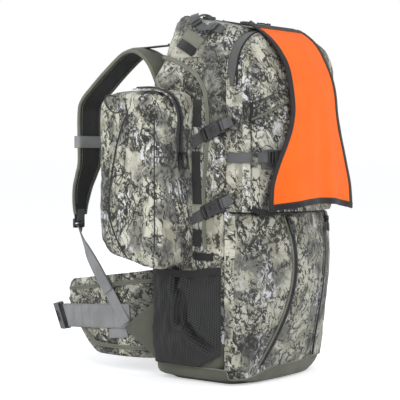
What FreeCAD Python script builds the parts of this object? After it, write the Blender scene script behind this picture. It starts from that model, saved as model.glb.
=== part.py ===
"""Hunting backpack of about 45 to 50 litres, as an assembly of its sewn and moulded pieces.

Millimetres, +Z up. The outer face looks to -Y and the harness to +Y, the wearer's left is -X.
The origin is the centre of the flat base that the pack stands on.
"""
import FreeCAD, Part
import math
import os
from FreeCAD import Matrix, Placement, Vector

# ---- cloth, webbing and gaps
wall = 3.0              # bag cloth with its foam and lining
seat = 0.3              # gap between a sewn piece and what it lies on
web = 2.0               # webbing thickness
narrow_web = 20.0       # compression webbing width
wide_web = 50.0         # hip belt webbing width
slip = 0.5              # running clearance inside a buckle
gather = 1.2            # thickness of the flap cloth and of the pocket mesh

# ---- main bag
bag_half = 150.0        # half width of the bag
bag_front = -82.0
bag_rear = 101.0
bag_height = 712.0      # rear edge of the lid
shoulder_z = bag_height - 132.0   # height where the sides start to lean in
crown_half = 88.0       # half width at the lid's rear edge
crown_lean = 13.0       # the rear wall leans forward by this at the lid
lid_fall = 32.0         # the lid drops by this towards its front
front_round = 24.0
rear_round = 38.0
seam_half = 100.0       # half distance between the seams of the two side panels
lid_seam_z = bag_height - 90.0    # seam between the lid panel and the panels below it

# ---- boot (base)
boot_height = 30.0
boot_floor = 4.0
boot_round = 10.0       # the foot stands in from the sides by this

# ---- upper front pocket
upper_inset = 5.0
upper_top = bag_height - 44.0
upper_rise = 80.0       # height of the arch
upper_top_half = 60.0
upper_gusset = 44.0     # depth of the side strip
upper_belly = 98.0      # how far the middle of the face stands out
upper_lean_z = upper_top - 148.0  # the face leans back above this height
upper_lean = 66.0       # by this much at the top
arch_band = 22.0        # width of the dark band round the arch

# ---- lower front pocket
lower_top = 328.0
lower_gusset = 30.0
lower_belly = 99.0
lower_foot = 44.0       # how far the face stands out at the boot
lower_peak_z = 245.0    # height of the fullest part
zip_width = 11.0
zip_raise = 1.6
zip_top_x = 65.0        # half distance between the two curved zips at the top
zip_waist_x = 50.0      # and where they come closest
zip_foot_x = 88.0
lower_slide = 40.0      # straight travel of a slider down its zip
slider_set_in = 10.0    # a closed slider stands this far below the pocket's top edge

# ---- blaze flap
flap_top_z = bag_height - lid_fall + 3.0
flap_bottom_z = 330.0
flap_shoulder = 52.0    # the larger, the rounder the flap falls over the pocket's top
flap_crown = 9.0        # the flap's edges lie this far behind its middle
flap_lift_slack = 0.5   # cloth fold between the flap and its anchor
flap_top_half = 76.0
flap_waist_half = 75.0
flap_waist_z = 530.0
flap_foot_half = 125.0
flap_foot_z = 362.0     # the corners are at full width below this
flap_top_y = -93.0
flap_stand = 20.0       # the flap hangs this far out from the pocket's belly
flap_arch = 13.0        # rise of the lower edge in its middle
binding = 7.0

# ---- side pouches
pouch_out = 115.0       # how far a pouch stands out from the bag's side
pouch_front = -9.0
pouch_rear = 135.0
pouch_bottom = 221.0
pouch_height = 332.0
pouch_round = 26.0
pouch_rake = 36.0       # the bottom rises by this towards the rear
pouch_zip_drop = 130.0  # length of the straight front run of the zip

# ---- mesh pockets
mesh_out = 17.0
mesh_foot_out = 10.0
mesh_hem_in = 5.0
mesh_front = -78.0
mesh_rear = 92.0
band_rise = 17.0        # the black band on the side lies this far above the mesh pocket
mesh_bottom = 31.0
mesh_top = 219.0
hem_width = 13.0

# ---- harness
pad_thick = 12.0
pad_width = 67.0
tip_slant = 3.2         # the pad's outer face ends this much lower than its inner face
strap_x = 72.0          # middle of a shoulder pad at the back panel
strap_root_z = shoulder_z - 35.0  # where a shoulder pad leaves the back panel
sternum_z = strap_root_z - 83.0
stay_x = 55.0           # half distance between the frame stays
stay_width = 25.0
stay_thick = 3.0
spine_half = 25.0       # half width of the channel between the two back pads
sternum_web = 25.0
lock_set_back = 5.0     # the lock at a pad's tip stands this far behind its inner face
sternum_shift = 8.0     # the pads stand this much wider at the sternum strap than at the bag
wing_thick = 13.0
wing_bow = 27.0         # how far the wing bows out round the hip
wing_root_x = 108.0
wing_length = 238.0
wing_top = 207.0
wing_fall = 32.0        # the upper edge drops by this towards the wing's tip
wing_bottom = 31.0
belt_z = 118.0          # middle of the belt webbing at the wing's root
belt_fall = 19.0        # and how much lower it lies at the tip
lumbar_half = wing_root_x - wing_thick / 2 - seat
back_pad_thick = 16.0
lifter_z = lid_seam_z + 28.0      # where the load lifters are sewn to the bag
stay_foot = 30.0        # the stays start this far above the boot
lumbar_bottom = 55.0

# ---- handle and lid straps
handle_span = 50.0
handle_rise = 8.0
handle_cord = 5.0
handle_set_in = 10.0    # from the lid's rear edge
lid_strap_x = 62.0
lid_zip_x = 41.0        # half distance between the two runs of the lid's zip
lid_zip_front = -58.0
lid_zip_rear = 62.0

# ---- buckles
buckle_length = 34.0    # female half
buckle_width = 27.0
buckle_thick = 9.0
prong = 16.0            # how far the prongs reach into the female half
side_tilt = 24.0        # degrees, rise of the side straps towards the front
upper_strap_z = 478.0
lower_strap_z = 332.0
front_strap_z = 430.0
front_buckle_x = 88.0   # distance of the front buckle's mouth from the middle
belt_buckle_height = 58.0
belt_buckle_length = 46.0         # female half
belt_buckle_thick = 13.0
belt_male_length = 28.0

PIECES = {}
TABS = []               # sewn tabs and the front buckle's backing, gathered from their sub-parts
LOCKS = []              # moulded ladder locks
ZIPS = []               # dark zips of the pouches and of the lid


def box(x0, x1, y0, y1, z0, z1):
    """A box between two corners given in any order."""
    (a, b), (c, d), (e, f) = sorted((x0, x1)), sorted((y0, y1)), sorted((z0, z1))
    return Part.makeBox(b - a, d - c, f - e, Vector(a, c, e))


def line(a, b):
    return Part.LineSegment(a, b).toShape()


def arc(a, b, c):
    return Part.Arc(a, b, c).toShape()


def polygon(points):
    return Part.makePolygon(list(points) + [points[0]])


def prism(points, direction):
    """A flat outline pushed along a direction."""
    return Part.Face(polygon(points)).extrude(direction)


def loft(wires):
    return Part.makeLoft(wires, True, True)


def group(shapes):
    return Part.Compound(list(shapes))


def mirrored(shape):
    """The same piece on the other side of the pack."""
    return shape.mirror(Vector(0, 0, 0), Vector(1, 0, 0))


def corner(cx, cy, r, start, z, way=1):
    """A quarter turn of radius r in the plane at height z, to the left (way 1) or to the right (-1)."""
    at = [math.radians(start + way * turn) for turn in (0, 45, 90)]
    return arc(*[Vector(cx + r * math.cos(a), cy + r * math.sin(a), z) for a in at])


def place(shape, origin, along, outward):
    """Puts a piece made along +X with its face to +Z at origin, along one direction and facing another."""
    x = Vector(along).normalize()
    z = Vector(outward)
    z = (z - x * z.dot(x)).normalize()
    y = z.cross(x)
    m = Matrix(x.x, y.x, z.x, origin.x, x.y, y.y, z.y, origin.y, x.z, y.z, z.z, origin.z, 0, 0, 0, 1)
    moved = shape.copy()
    moved.Placement = Placement(m)
    return moved


def band(stations, thick):
    """A strap through stations (point, width direction, normal, width), its inner face on the points."""
    wires = []
    for point, across, normal, width in stations:
        a = Vector(across).normalize() * (width / 2)
        n = Vector(normal).normalize() * thick
        wires.append(polygon([point - a, point + a, point + a + n, point - a + n]))
    return loft(wires)


# ---------------------------------------------------------------- forms of the bag and its pockets
def bag_half_at(z):
    """Half width of the bag at height z."""
    t = max(0.0, (z - shoulder_z) / (bag_height - shoulder_z))
    return bag_half + (crown_half - bag_half) * t


def bag_rear_at(z):
    t = max(0.0, (z - shoulder_z) / (bag_height - shoulder_z))
    return bag_rear - crown_lean * t


def lid_z(y):
    """Height of the lid's top over the depth y."""
    return bag_height - lid_fall * (bag_rear - y) / (bag_rear - bag_front)


def bag_section(z, grow):
    w, y0, y1 = bag_half_at(z) + grow, bag_front - grow, bag_rear_at(z) + grow
    rf, rb = front_round + grow, rear_round + grow
    return Part.Wire([
        line(Vector(rf - w, y0, z), Vector(w - rf, y0, z)), corner(w - rf, y0 + rf, rf, -90, z),
        line(Vector(w, y0 + rf, z), Vector(w, y1 - rb, z)), corner(w - rb, y1 - rb, rb, 0, z),
        line(Vector(w - rb, y1, z), Vector(rb - w, y1, z)), corner(rb - w, y1 - rb, rb, 90, z),
        line(Vector(-w, y1 - rb, z), Vector(-w, y0 + rf, z)), corner(rf - w, y0 + rf, rf, 180, z),
    ])


def bag_form(grow=0.0, bottom=boot_height + seat):
    """The bag's outer form, cut off by the sloping lid, grown outwards by a distance."""
    body = loft([bag_section(z, grow) for z in (bottom, shoulder_z, bag_height + 2 * wall)])
    y0, y1 = bag_front - 2 * wall, bag_rear + 2 * wall
    side = bag_half + 4 * wall
    above = prism(
        [Vector(-side, y0, lid_z(y0) + grow), Vector(-side, y1, lid_z(y1) + grow),
         Vector(-side, y1, 2 * bag_height), Vector(-side, y0, 2 * bag_height)],
        Vector(2 * side, 0, 0),
    )
    return body.cut(above)


def pocket_section(z, half, back, gusset, belly, grow):
    """Plan of a front pocket: straight side strips and one arc across the face."""
    w, g, b = half + grow, gusset - grow / 2, belly - grow
    return Part.Wire([
        line(Vector(-w, back, z), Vector(-w, g, z)), arc(Vector(-w, g, z), Vector(0, b, z), Vector(w, g, z)),
        line(Vector(w, g, z), Vector(w, back, z)), line(Vector(w, back, z), Vector(-w, back, z)),
    ])


def upper_sizes(z):
    """Half width, edge and middle of the upper pocket's face at height z."""
    start = upper_top - upper_rise
    lift = min(1.0, max(0.0, (z - start) / upper_rise))
    c = math.sqrt(1.0 - lift * lift)
    half = upper_top_half + (bag_half - upper_inset - upper_top_half) * c
    gusset = bag_front - upper_gusset * (0.7 + 0.3 * c)
    lean = max(0.0, (z - upper_lean_z) / (upper_top - upper_lean_z))
    return half, gusset, bag_front - upper_belly + upper_lean * lean ** 2.2


def upper_form(grow=0.0, back=bag_front - seat):
    start = upper_top - upper_rise
    bottom = lower_top + 2 * seat
    steps = [bottom - grow, upper_lean_z, (upper_lean_z + start) / 2, start]
    steps += [start + upper_rise * math.sin(math.radians(a)) for a in (20, 38, 55, 72)]
    wires = [pocket_section(z, *upper_at(z, back), grow) for z in steps]
    wires.append(pocket_section(upper_top + grow, *upper_at(upper_top, back), grow))
    return loft(wires)


def upper_at(z, back):
    half, gusset, belly = upper_sizes(z)
    return half, back, gusset, belly


def lower_sizes(z):
    """Half width, edge and middle of the lower pocket's face at height z."""
    t = (z - boot_height) / (lower_peak_z - boot_height)
    swell = math.sin(math.pi / 2 * max(0.0, t))
    edge = bag_front - lower_gusset * (0.75 + 0.25 * min(1.0, swell * 1.5))
    return bag_half, edge, bag_front - lower_foot - (lower_belly - lower_foot) * swell


def lower_form(grow=0.0, back=bag_front - seat, bottom=boot_height + seat):
    span = lower_top - bottom
    steps = [bottom - grow] + [bottom + span * t for t in (0.09, 0.22, 0.38, 0.55, 0.75, 0.88)] + [lower_top + grow]
    wires = []
    for z in steps:
        half, gusset, belly = lower_sizes(min(max(z, bottom), lower_top))
        wires.append(pocket_section(z, half, back, gusset, belly, grow))
    return loft(wires)


def boot_section(z, inset, grow):
    """Plan of the boot: the bag's rear corners and the lower pocket's face in one outline."""
    half, gusset, belly = lower_sizes(boot_height)
    w, g, b = half - inset + grow, gusset + inset - grow / 2, belly + inset - grow
    y1, r = bag_rear - inset + grow, rear_round + grow
    return Part.Wire([
        line(Vector(w, g, z), Vector(w, y1 - r, z)), corner(w - r, y1 - r, r, 0, z),
        line(Vector(w - r, y1, z), Vector(r - w, y1, z)), corner(r - w, y1 - r, r, 90, z),
        line(Vector(-w, y1 - r, z), Vector(-w, g, z)), arc(Vector(-w, g, z), Vector(0, b, z), Vector(w, g, z)),
    ])


def hollow(form):
    """A closed skin of the cloth's thickness."""
    return form(0.0).cut(form(-wall))


def lying(form, thick, region, lift=seat):
    """Flat goods that lie on a form: the layer between two grown copies of it, inside a region."""
    return form(lift + thick).cut(form(lift)).common(region)


# ---------------------------------------------------------------- main bag
def main_bag():
    skin = hollow(bag_form)
    far = 2 * bag_height
    low, high = boot_height, lid_seam_z
    PIECES["side_panel_left"] = skin.common(box(-far, -seam_half, -far, far, low, high))
    PIECES["side_panel_right"] = mirrored(PIECES["side_panel_left"])
    mid = seam_half - seat
    PIECES["front_panel"] = skin.common(box(-mid, mid, -far, bag_front + 2 * wall, low, high))
    PIECES["lid_panel"] = skin.common(box(-far, far, -far, far, high + seat, far))
    PIECES["frame_sheet"] = skin.common(box(-mid, mid, bag_rear - crown_lean - wall, far, low, high))
    boot = loft([boot_section(z, inset, 0.0) for z, inset in
                 ((0.0, boot_round), (boot_height / 3, boot_round / 4), (boot_height, 0.0))])
    room = loft([boot_section(z, inset, -wall) for z, inset in
                 ((boot_floor, boot_round), (boot_height / 2, boot_round / 4), (boot_height + seat, 0.0))])
    PIECES["base_boot"] = boot.cut(room)


def frame_and_pads():
    stay = box(-stay_width / 2, stay_width / 2, bag_rear + seat, bag_rear + seat + stay_thick,
               boot_height + stay_foot, strap_root_z - 6.0)
    PIECES["frame_stays"] = group(stay.translated(Vector(x, 0, 0)) for x in (-stay_x, stay_x))
    front = bag_rear + 2 * seat + stay_thick
    pad = box(spine_half, seam_half, front, front + back_pad_thick, wing_top + 40.0, strap_root_z - 8.0)
    pad = pad.makeFillet(6.0, pad.Edges)
    PIECES["back_pads"] = group([pad, mirrored(pad)])
    lumbar = box(-lumbar_half, lumbar_half, front, front + 1.4 * back_pad_thick, lumbar_bottom, wing_top + 20.0)
    PIECES["lumbar_pad"] = lumbar.makeFillet(8.0, lumbar.Edges)


# ---------------------------------------------------------------- front pockets
def front_pockets():
    PIECES["upper_pocket"] = hollow(upper_form)
    PIECES["lower_pocket"] = hollow(lower_form)
    arch = box(-2 * bag_half, 2 * bag_half, bag_front - 4.0 - arch_band, bag_front - 4.0,
               upper_top - 1.3 * upper_rise, 2 * upper_top)
    PIECES["upper_pocket_band"] = lying(upper_form, web, arch)
    zips = []
    for side in (-1, 1):
        edges = []
        for half in (-zip_width / 2, zip_width / 2):
            points = [Vector(side * (x + half), -2 * bag_half, z) for x, z in lower_zip_points()]
            edges.append(points)
        (a0, a1, a2), (b0, b1, b2) = edges
        outline = Part.Wire([arc(a0, a1, a2), line(a2, b2), arc(b2, b1, b0), line(b0, a0)])
        zips.append(Part.Face(outline).extrude(Vector(0, 2 * bag_half + bag_front - 8.0, 0)))
    PIECES["lower_pocket_zips"] = group(lying(lower_form, zip_raise, z) for z in zips)


def zip_slider(length=15.0, width=9.0, height=4.0):
    """A slider body with a bridge that its pull hangs from, made along +X with its face to +Z."""
    body = box(0, length, -width / 2, width / 2, 0, height)
    bridge = box(3.0, length - 3.0, -1.5, 1.5, height, height + 4.4)
    eye = box(4.8, length - 4.8, -2, 2, height, height + 3.2)
    return body.fuse(bridge.cut(eye))


def zip_pull(length=26.0, width=12.0, thick=2.4, slider_length=15.0, slider_height=4.0):
    """A moulded pull: a pin through the slider's bridge, two arms and a ribbed plate."""
    x = slider_length / 2
    z = slider_height + 1.8
    pin = Part.makeCylinder(0.8, 6.0, Vector(x, -3.0, z), Vector(0, 1, 0))
    arms = [box(x - 0.9, x + 9.0, s * 3.0, s * 5.0, z - 0.9, z + 0.9) for s in (-1, 1)]
    plate = box(x + 9.0, x + length, -width / 2, width / 2, z - 0.9, z - 0.9 + thick)
    grip = box(x + 12.0, x + length - 3.0, -width / 2 + 2.0, width / 2 - 2.0, z - 0.9 + thick, z + thick)
    return pin.fuse([*arms, plate, grip])


def lower_zip_points():
    """Three points of a curved zip's middle line, as distance from the middle of the pack and height."""
    middle = (lower_top + boot_height) / 2
    return (zip_top_x, lower_top - 6.0), (zip_waist_x, middle), (zip_foot_x, boot_height + 6.0)


def lower_zip_spot(z, lift):
    """A point over the left curved zip at height z, and the outward direction there."""
    (xa, a), (xb, b), (xc, c) = lower_zip_points()
    x = xa * (z - b) * (z - c) / ((a - b) * (a - c)) + xb * (z - a) * (z - c) / ((b - a) * (b - c))
    x += xc * (z - a) * (z - b) / ((c - a) * (c - b))
    half, gusset, belly = lower_sizes(z)
    reach = (half * half + (gusset - belly) ** 2) / (2 * (gusset - belly))
    out = Vector(-x / reach, -math.sqrt(1 - (x / reach) ** 2), 0)
    return Vector(0, belly + reach, z) + out * (reach + lift), out


def lower_zip_way():
    """Where the left slider stands, the way it runs down its zip, and the outward direction."""
    top = lower_top - slider_set_in
    spot, out = lower_zip_spot(top, 3 * seat + zip_raise)
    foot, _ = lower_zip_spot(top - lower_slide, 3 * seat + zip_raise)
    return spot, (foot - spot).normalize(), out


def lower_pocket_sliders():
    """Sliders at the top of the two curved zips, with their pulls hanging down."""
    spot, down, out = lower_zip_way()
    for name, shape in (("lower_slider_", zip_slider()), ("lower_pull_", zip_pull())):
        PIECES[name + "left"] = place(shape, spot, down, out)
        PIECES[name + "right"] = mirrored(PIECES[name + "left"])


# ---------------------------------------------------------------- blaze flap
def flap_half_at(z):
    """Half width of the flap: near straight sides to the waist, then flared to the lower corners."""
    if z >= flap_waist_z:
        return flap_waist_half + (flap_top_half - flap_waist_half) * (z - flap_waist_z) / (flap_top_z - flap_waist_z)
    t = min(1.0, (flap_waist_z - z) / (flap_waist_z - flap_foot_z))
    return flap_waist_half + (flap_foot_half - flap_waist_half) * t * t * (3 - 2 * t)


def flap_y_at(z):
    """Depth of the flap's middle: out over the pocket's shoulder, then straight down."""
    out = bag_front - upper_belly - flap_stand
    return flap_top_y + (out - flap_top_y) * (1.0 - math.exp((z - flap_top_z) / flap_shoulder))


def flap_section(z, thick, half):
    y = flap_y_at(z)
    crown = flap_crown * min(1.0, (flap_top_z - z) / 60.0) + 0.01
    a, b, c = Vector(-half, y + crown, z), Vector(0, y, z), Vector(half, y + crown, z)
    step = Vector(0, -thick, 0)
    return Part.Wire([arc(a, b, c), line(c, c + step), arc(c + step, b + step, a + step), line(a + step, a)])


def flap_levels():
    step = (flap_waist_z - flap_bottom_z) / 6
    low = [flap_bottom_z + step * i for i in range(7)]
    drop = flap_top_z - flap_waist_z
    return low + [flap_waist_z + drop * t for t in (0.28, 0.52, 0.7, 0.82, 0.9, 0.96, 1.0)]


def blaze_flap():
    cloth = loft([flap_section(z, gather, flap_half_at(z)) for z in flap_levels()])
    reach = (flap_foot_half ** 2 + flap_arch ** 2) / (2 * flap_arch)
    depth = 4 * bag_half

    def scallop(rise):
        return Part.makeCylinder(reach, depth, Vector(0, -depth, flap_bottom_z + flap_arch + rise - reach),
                                 Vector(0, 1, 0))

    cloth = cloth.cut(scallop(0.0))
    wires = []
    for z in flap_levels():
        half, y = flap_half_at(z) - binding, flap_y_at(z)
        wires.append(polygon([Vector(-half, y - 30, z), Vector(half, y - 30, z), Vector(half, y + 30, z),
                              Vector(-half, y + 30, z)]))
    inside = loft(wires).cut(scallop(binding)).cut(
        box(-bag_half, bag_half, -depth, depth, flap_top_z - binding, flap_top_z + depth))
    PIECES["blaze_flap"] = cloth.common(inside)
    PIECES["blaze_binding"] = cloth.cut(inside)
    top = flap_top_half
    on_lid = lying(bag_form, web, box(-top, top, bag_front + 1.0, bag_front + 20.0, flap_top_z - lid_fall,
                                      2 * bag_height))
    low = lid_z(bag_front) + 2 * seat
    lip = box(-top, top, flap_top_y + flap_lift_slack, bag_front + 3.0, low, low + 1.5 * web).cut(bag_form(seat))
    PIECES["flap_anchor"] = on_lid.fuse(lip)


# ---------------------------------------------------------------- side pouches
def pouch_section(z, out, y0, y1, r, grow):
    back = bag_half + seat + web + seat - grow
    x = bag_half + out + grow
    a, b, r = y0 - grow, y1 + grow, r + grow
    return Part.Wire([
        line(Vector(-back, a, z), Vector(r - x, a, z)), corner(r - x, a + r, r, -90, z, -1),
        line(Vector(-x, a + r, z), Vector(-x, b - r, z)), corner(r - x, b - r, r, 180, z, -1),
        line(Vector(r - x, b, z), Vector(-back, b, z)), line(Vector(-back, b, z), Vector(-back, a, z)),
    ])


def pouch_form(grow=0.0):
    top = pouch_bottom + pouch_height
    body = loft([
        pouch_section(pouch_bottom - grow, pouch_out - 14, pouch_front + 6, pouch_rear - 6, pouch_round, grow),
        pouch_section(pouch_bottom + 24, pouch_out, pouch_front, pouch_rear, pouch_round, grow),
        pouch_section(top - 24, pouch_out, pouch_front, pouch_rear, pouch_round, grow),
        pouch_section(top - 7, pouch_out - 8, pouch_front + 4, pouch_rear - 5, pouch_round, grow),
        pouch_section(top + grow, pouch_out - 24, pouch_front + 14, pouch_rear - 16, pouch_round, grow),
    ])
    x = 3 * bag_half
    rake = prism([Vector(-x, pouch_front + 30, pouch_bottom - grow - 1),
                  Vector(-x, pouch_rear + 30, pouch_bottom + pouch_rake - grow + 8),
                  Vector(-x, pouch_rear + 30, 0), Vector(-x, pouch_front + 30, 0)], Vector(x, 0, 0))
    return body.cut(rake)


def side_pouches():
    PIECES["side_pouch_left"] = hollow(pouch_form)
    top = pouch_bottom + pouch_height
    x_mid = -(bag_half + pouch_out * 0.42)
    bend = pouch_out * 0.48
    bend_z = top - bend + 2.0
    run = box(x_mid - zip_width / 2, x_mid + zip_width / 2, pouch_front - 20, pouch_front + pouch_round,
              top - pouch_zip_drop, bend_z)
    turn = Part.makeCylinder(bend + zip_width / 2, 20 + pouch_round, Vector(x_mid - bend, pouch_front - 20, bend_z),
                             Vector(0, 1, 0))
    turn = turn.cut(Part.makeCylinder(bend - zip_width / 2, 20 + pouch_round,
                                      Vector(x_mid - bend, pouch_front - 20, bend_z), Vector(0, 1, 0)))
    run = run.fuse(turn.common(box(x_mid - bend, x_mid + bend, -bag_half, bag_half, bend_z, 2 * top)))
    over = box(x_mid - bend - zip_width / 2, x_mid - bend + zip_width / 2, pouch_front + pouch_round - 6,
               pouch_rear - 30, top - 16, top + 20)
    tape = lying(pouch_form, zip_raise, run.fuse(over))
    ZIPS.extend([tape, mirrored(tape)])
    spot = Vector(x_mid, pouch_front - 2 * seat - zip_raise, top - pouch_zip_drop + 18)
    PIECES["pouch_slider_left"] = place(zip_slider(), spot, Vector(0, 0, -1), Vector(0, -1, 0))
    PIECES["pouch_pull_left"] = place(zip_pull(), spot, Vector(0, 0, -1), Vector(0, -1, 0))
    for name in ("side_pouch_", "pouch_slider_", "pouch_pull_"):
        PIECES[name + "right"] = mirrored(PIECES[name + "left"])


# ---------------------------------------------------------------- mesh pockets and black bands
def mesh_section(z, out, grow):
    x = bag_half + seat
    a, b = mesh_front - grow, mesh_rear - rear_round / 2 + grow
    mid = (a + b) / 2
    return Part.Wire([
        line(Vector(-x, b, z), Vector(-x, a, z)), line(Vector(-x, a, z), Vector(-x - 3 - grow, a, z)),
        arc(Vector(-x - 3 - grow, a, z), Vector(-x - out - grow, mid, z), Vector(-x - 3 - grow, b, z)),
        line(Vector(-x - 3 - grow, b, z), Vector(-x, b, z)),
    ])


def mesh_out_at(z):
    """How far the pocket stands out at height z: slack and full in its middle, held in at the hem."""
    t = (z - mesh_bottom) / (mesh_top - mesh_bottom)
    foot = mesh_out - mesh_foot_out
    return mesh_out - foot * max(0.0, 1.0 - t / 0.25) - mesh_hem_in * max(0.0, (t - 0.7) / 0.3)


def mesh_form(grow=0.0, bottom=mesh_bottom, top=mesh_top):
    span = mesh_top - mesh_bottom
    levels = [bottom] + [z for z in (mesh_bottom + span * t for t in (0.25, 0.7)) if bottom < z < top] + [top]
    return loft([mesh_section(z, mesh_out_at(z), grow) for z in levels])


def mesh_pockets():
    room = mesh_form(-gather, mesh_bottom + gather, mesh_top + gather)
    inner = room.common(box(-2 * bag_half, -bag_half - seat - gather, -bag_half, bag_half, 0, bag_height))
    PIECES["mesh_pocket_left"] = mesh_form().cut(inner)
    PIECES["mesh_pocket_right"] = mirrored(PIECES["mesh_pocket_left"])
    ring = mesh_form(seat + web, mesh_top - hem_width, mesh_top).cut(
        mesh_form(seat, mesh_top - hem_width - 1, mesh_top + 1))
    hem = ring.common(box(-2 * bag_half, -bag_half - seat, -bag_half, bag_half, 0, bag_height))
    PIECES["mesh_hems"] = group([hem, mirrored(hem)])
    strap = box(-bag_half - seat - web, -bag_half - seat, bag_front + front_round, pouch_front - 2,
                mesh_top + band_rise, mesh_top + band_rise + hem_width)
    PIECES["side_bands"] = group([strap, mirrored(strap)])


# ---------------------------------------------------------------- buckles and compression straps
def female_half(length=buckle_length, width=buckle_width, thick=buckle_thick):
    """Socket half of a side release buckle, mouth at x = 0, with side windows and a webbing bar."""
    body = box(0, length, -width / 2, width / 2, 0, thick)
    room = box(-1, prong + 2 * slip, -width / 2 + 2.5, width / 2 - 2.5, 2.0, thick - 2.0)
    windows = [box(prong - 9, prong + slip, s * (width / 2 - 3), s * (width / 2 + 1), 2.0, thick - 2.0)
               for s in (-1, 1)]
    slot = box(length - 9, length - 4, -width / 2 + 3, width / 2 - 3, -1, thick + 1)
    return body.cut(room).cut(windows[0]).cut(windows[1]).cut(slot)


def male_half(length=20.0, width=buckle_width, thick=buckle_thick):
    """Pronged half with its ladder bars, shoulder at x = -slip and the body behind it."""
    body = box(-slip - length, -slip, -width / 2, width / 2, 0.5, thick - 0.5)
    slots = [box(-slip - length + x, -slip - length + x + 4, -width / 2 + 3, width / 2 - 3, -1, thick + 1)
             for x in (3.0, 10.0)]
    arms = [box(-slip - 1, prong, s * (width / 2 - 3.2), s * (width / 2 - 7.5), 2 + slip, thick - 2 - slip)
            for s in (-1, 1)]
    tongue = box(-slip - 1, prong - 4, -2, 2, 2 + slip, thick - 2 - slip)
    return body.cut(slots[0]).cut(slots[1]).fuse([*arms, tongue])


def side_strap(z_mid):
    """Webbing, male half, female half and sewn tab of one side strap, on the left of the pack."""
    tilt = math.radians(side_tilt)
    along = Vector(0, -math.cos(tilt), math.sin(tilt))
    out = Vector(-1, 0, 0)
    across = Vector(0, math.sin(tilt), math.cos(tilt))
    mouth = Vector(-bag_half - seat - 1.0, pouch_front - 44.0, z_mid)
    male = place(male_half(), mouth, along, out)
    female = place(female_half(), mouth, along, out)
    face = Vector(-bag_half - seat, mouth.y, mouth.z)
    tail = face - along * (20.0 + 3 * slip)
    webbing = band([(tail - along * 118.0, across, out, narrow_web), (tail, across, out, narrow_web)], web)
    webbing = webbing.cut(bag_form(seat / 2))
    tab = box(buckle_length + slip, buckle_length + 16.0, -narrow_web / 2, narrow_web / 2, 0, web)
    tab = place(tab, face, along, out).cut(bag_form(seat))
    return webbing, male, female, tab


def compression_straps():
    webs, females, tabs = [], [], []
    for level, z in (("upper", upper_strap_z), ("lower", lower_strap_z)):
        webbing, male, female, tab = side_strap(z)
        PIECES["side_male_" + level + "_left"] = male
        PIECES["side_male_" + level + "_right"] = mirrored(male)
        webs += [webbing, mirrored(webbing)]
        females += [female, mirrored(female)]
        tabs += [tab, mirrored(tab)]
    x = front_buckle_x
    half, gusset, belly = upper_sizes(front_strap_z)
    reach = (half * half + (gusset - belly) ** 2) / (2 * (gusset - belly))
    centre_y = belly + reach
    patch = box(-x - 34, 34 - x, -2 * bag_half, bag_front, front_strap_z - 21, front_strap_z + 15)
    TABS.append(lying(upper_form, web, patch))
    turn = math.asin(x / reach)
    out = Vector(-math.sin(turn), -math.cos(turn), 0)
    along = Vector(math.cos(turn), -math.sin(turn), 0)
    lift = reach + seat + web + seat
    mouth = Vector(0, centre_y, front_strap_z) + out * lift - along * 6.0
    PIECES["front_male"] = place(male_half(), mouth, along, out)
    female = place(female_half(), mouth, along, out)
    far = 2 * bag_half
    z0, z1 = front_strap_z - narrow_web / 2, front_strap_z + narrow_web / 2
    raised = 2 * seat + web
    end = mouth - along * (20.0 + 2 * slip)
    left = lying(upper_form, web, box(-far, end.x - 1.5, -far, bag_front - 2, z0, z1), raised)
    start = mouth + along * (buckle_length + 2 * slip)
    right = lying(upper_form, web, box(start.x + 2.0, far, -far, bag_front - 2, z0, z1), raised)
    PIECES["front_webbing"] = group([left, right])
    PIECES["side_webbing"] = group(webs)
    PIECES["compression_females"] = group([*females, female])
    TABS.extend(tabs)


# ---------------------------------------------------------------- handle, lid straps and tabs
def ladder_lock(width=narrow_web, length=16.0, thick=6.0):
    """A flat lock with two slots for its webbing, made along +X with its face to +Z."""
    body = box(0, length, -width / 2 - 3, width / 2 + 3, 0, thick)
    slots = [box(x, x + 3.2, -width / 2, width / 2, -1, thick + 1) for x in (2.6, 9.6)]
    return body.cut(slots[0]).cut(slots[1])


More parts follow.
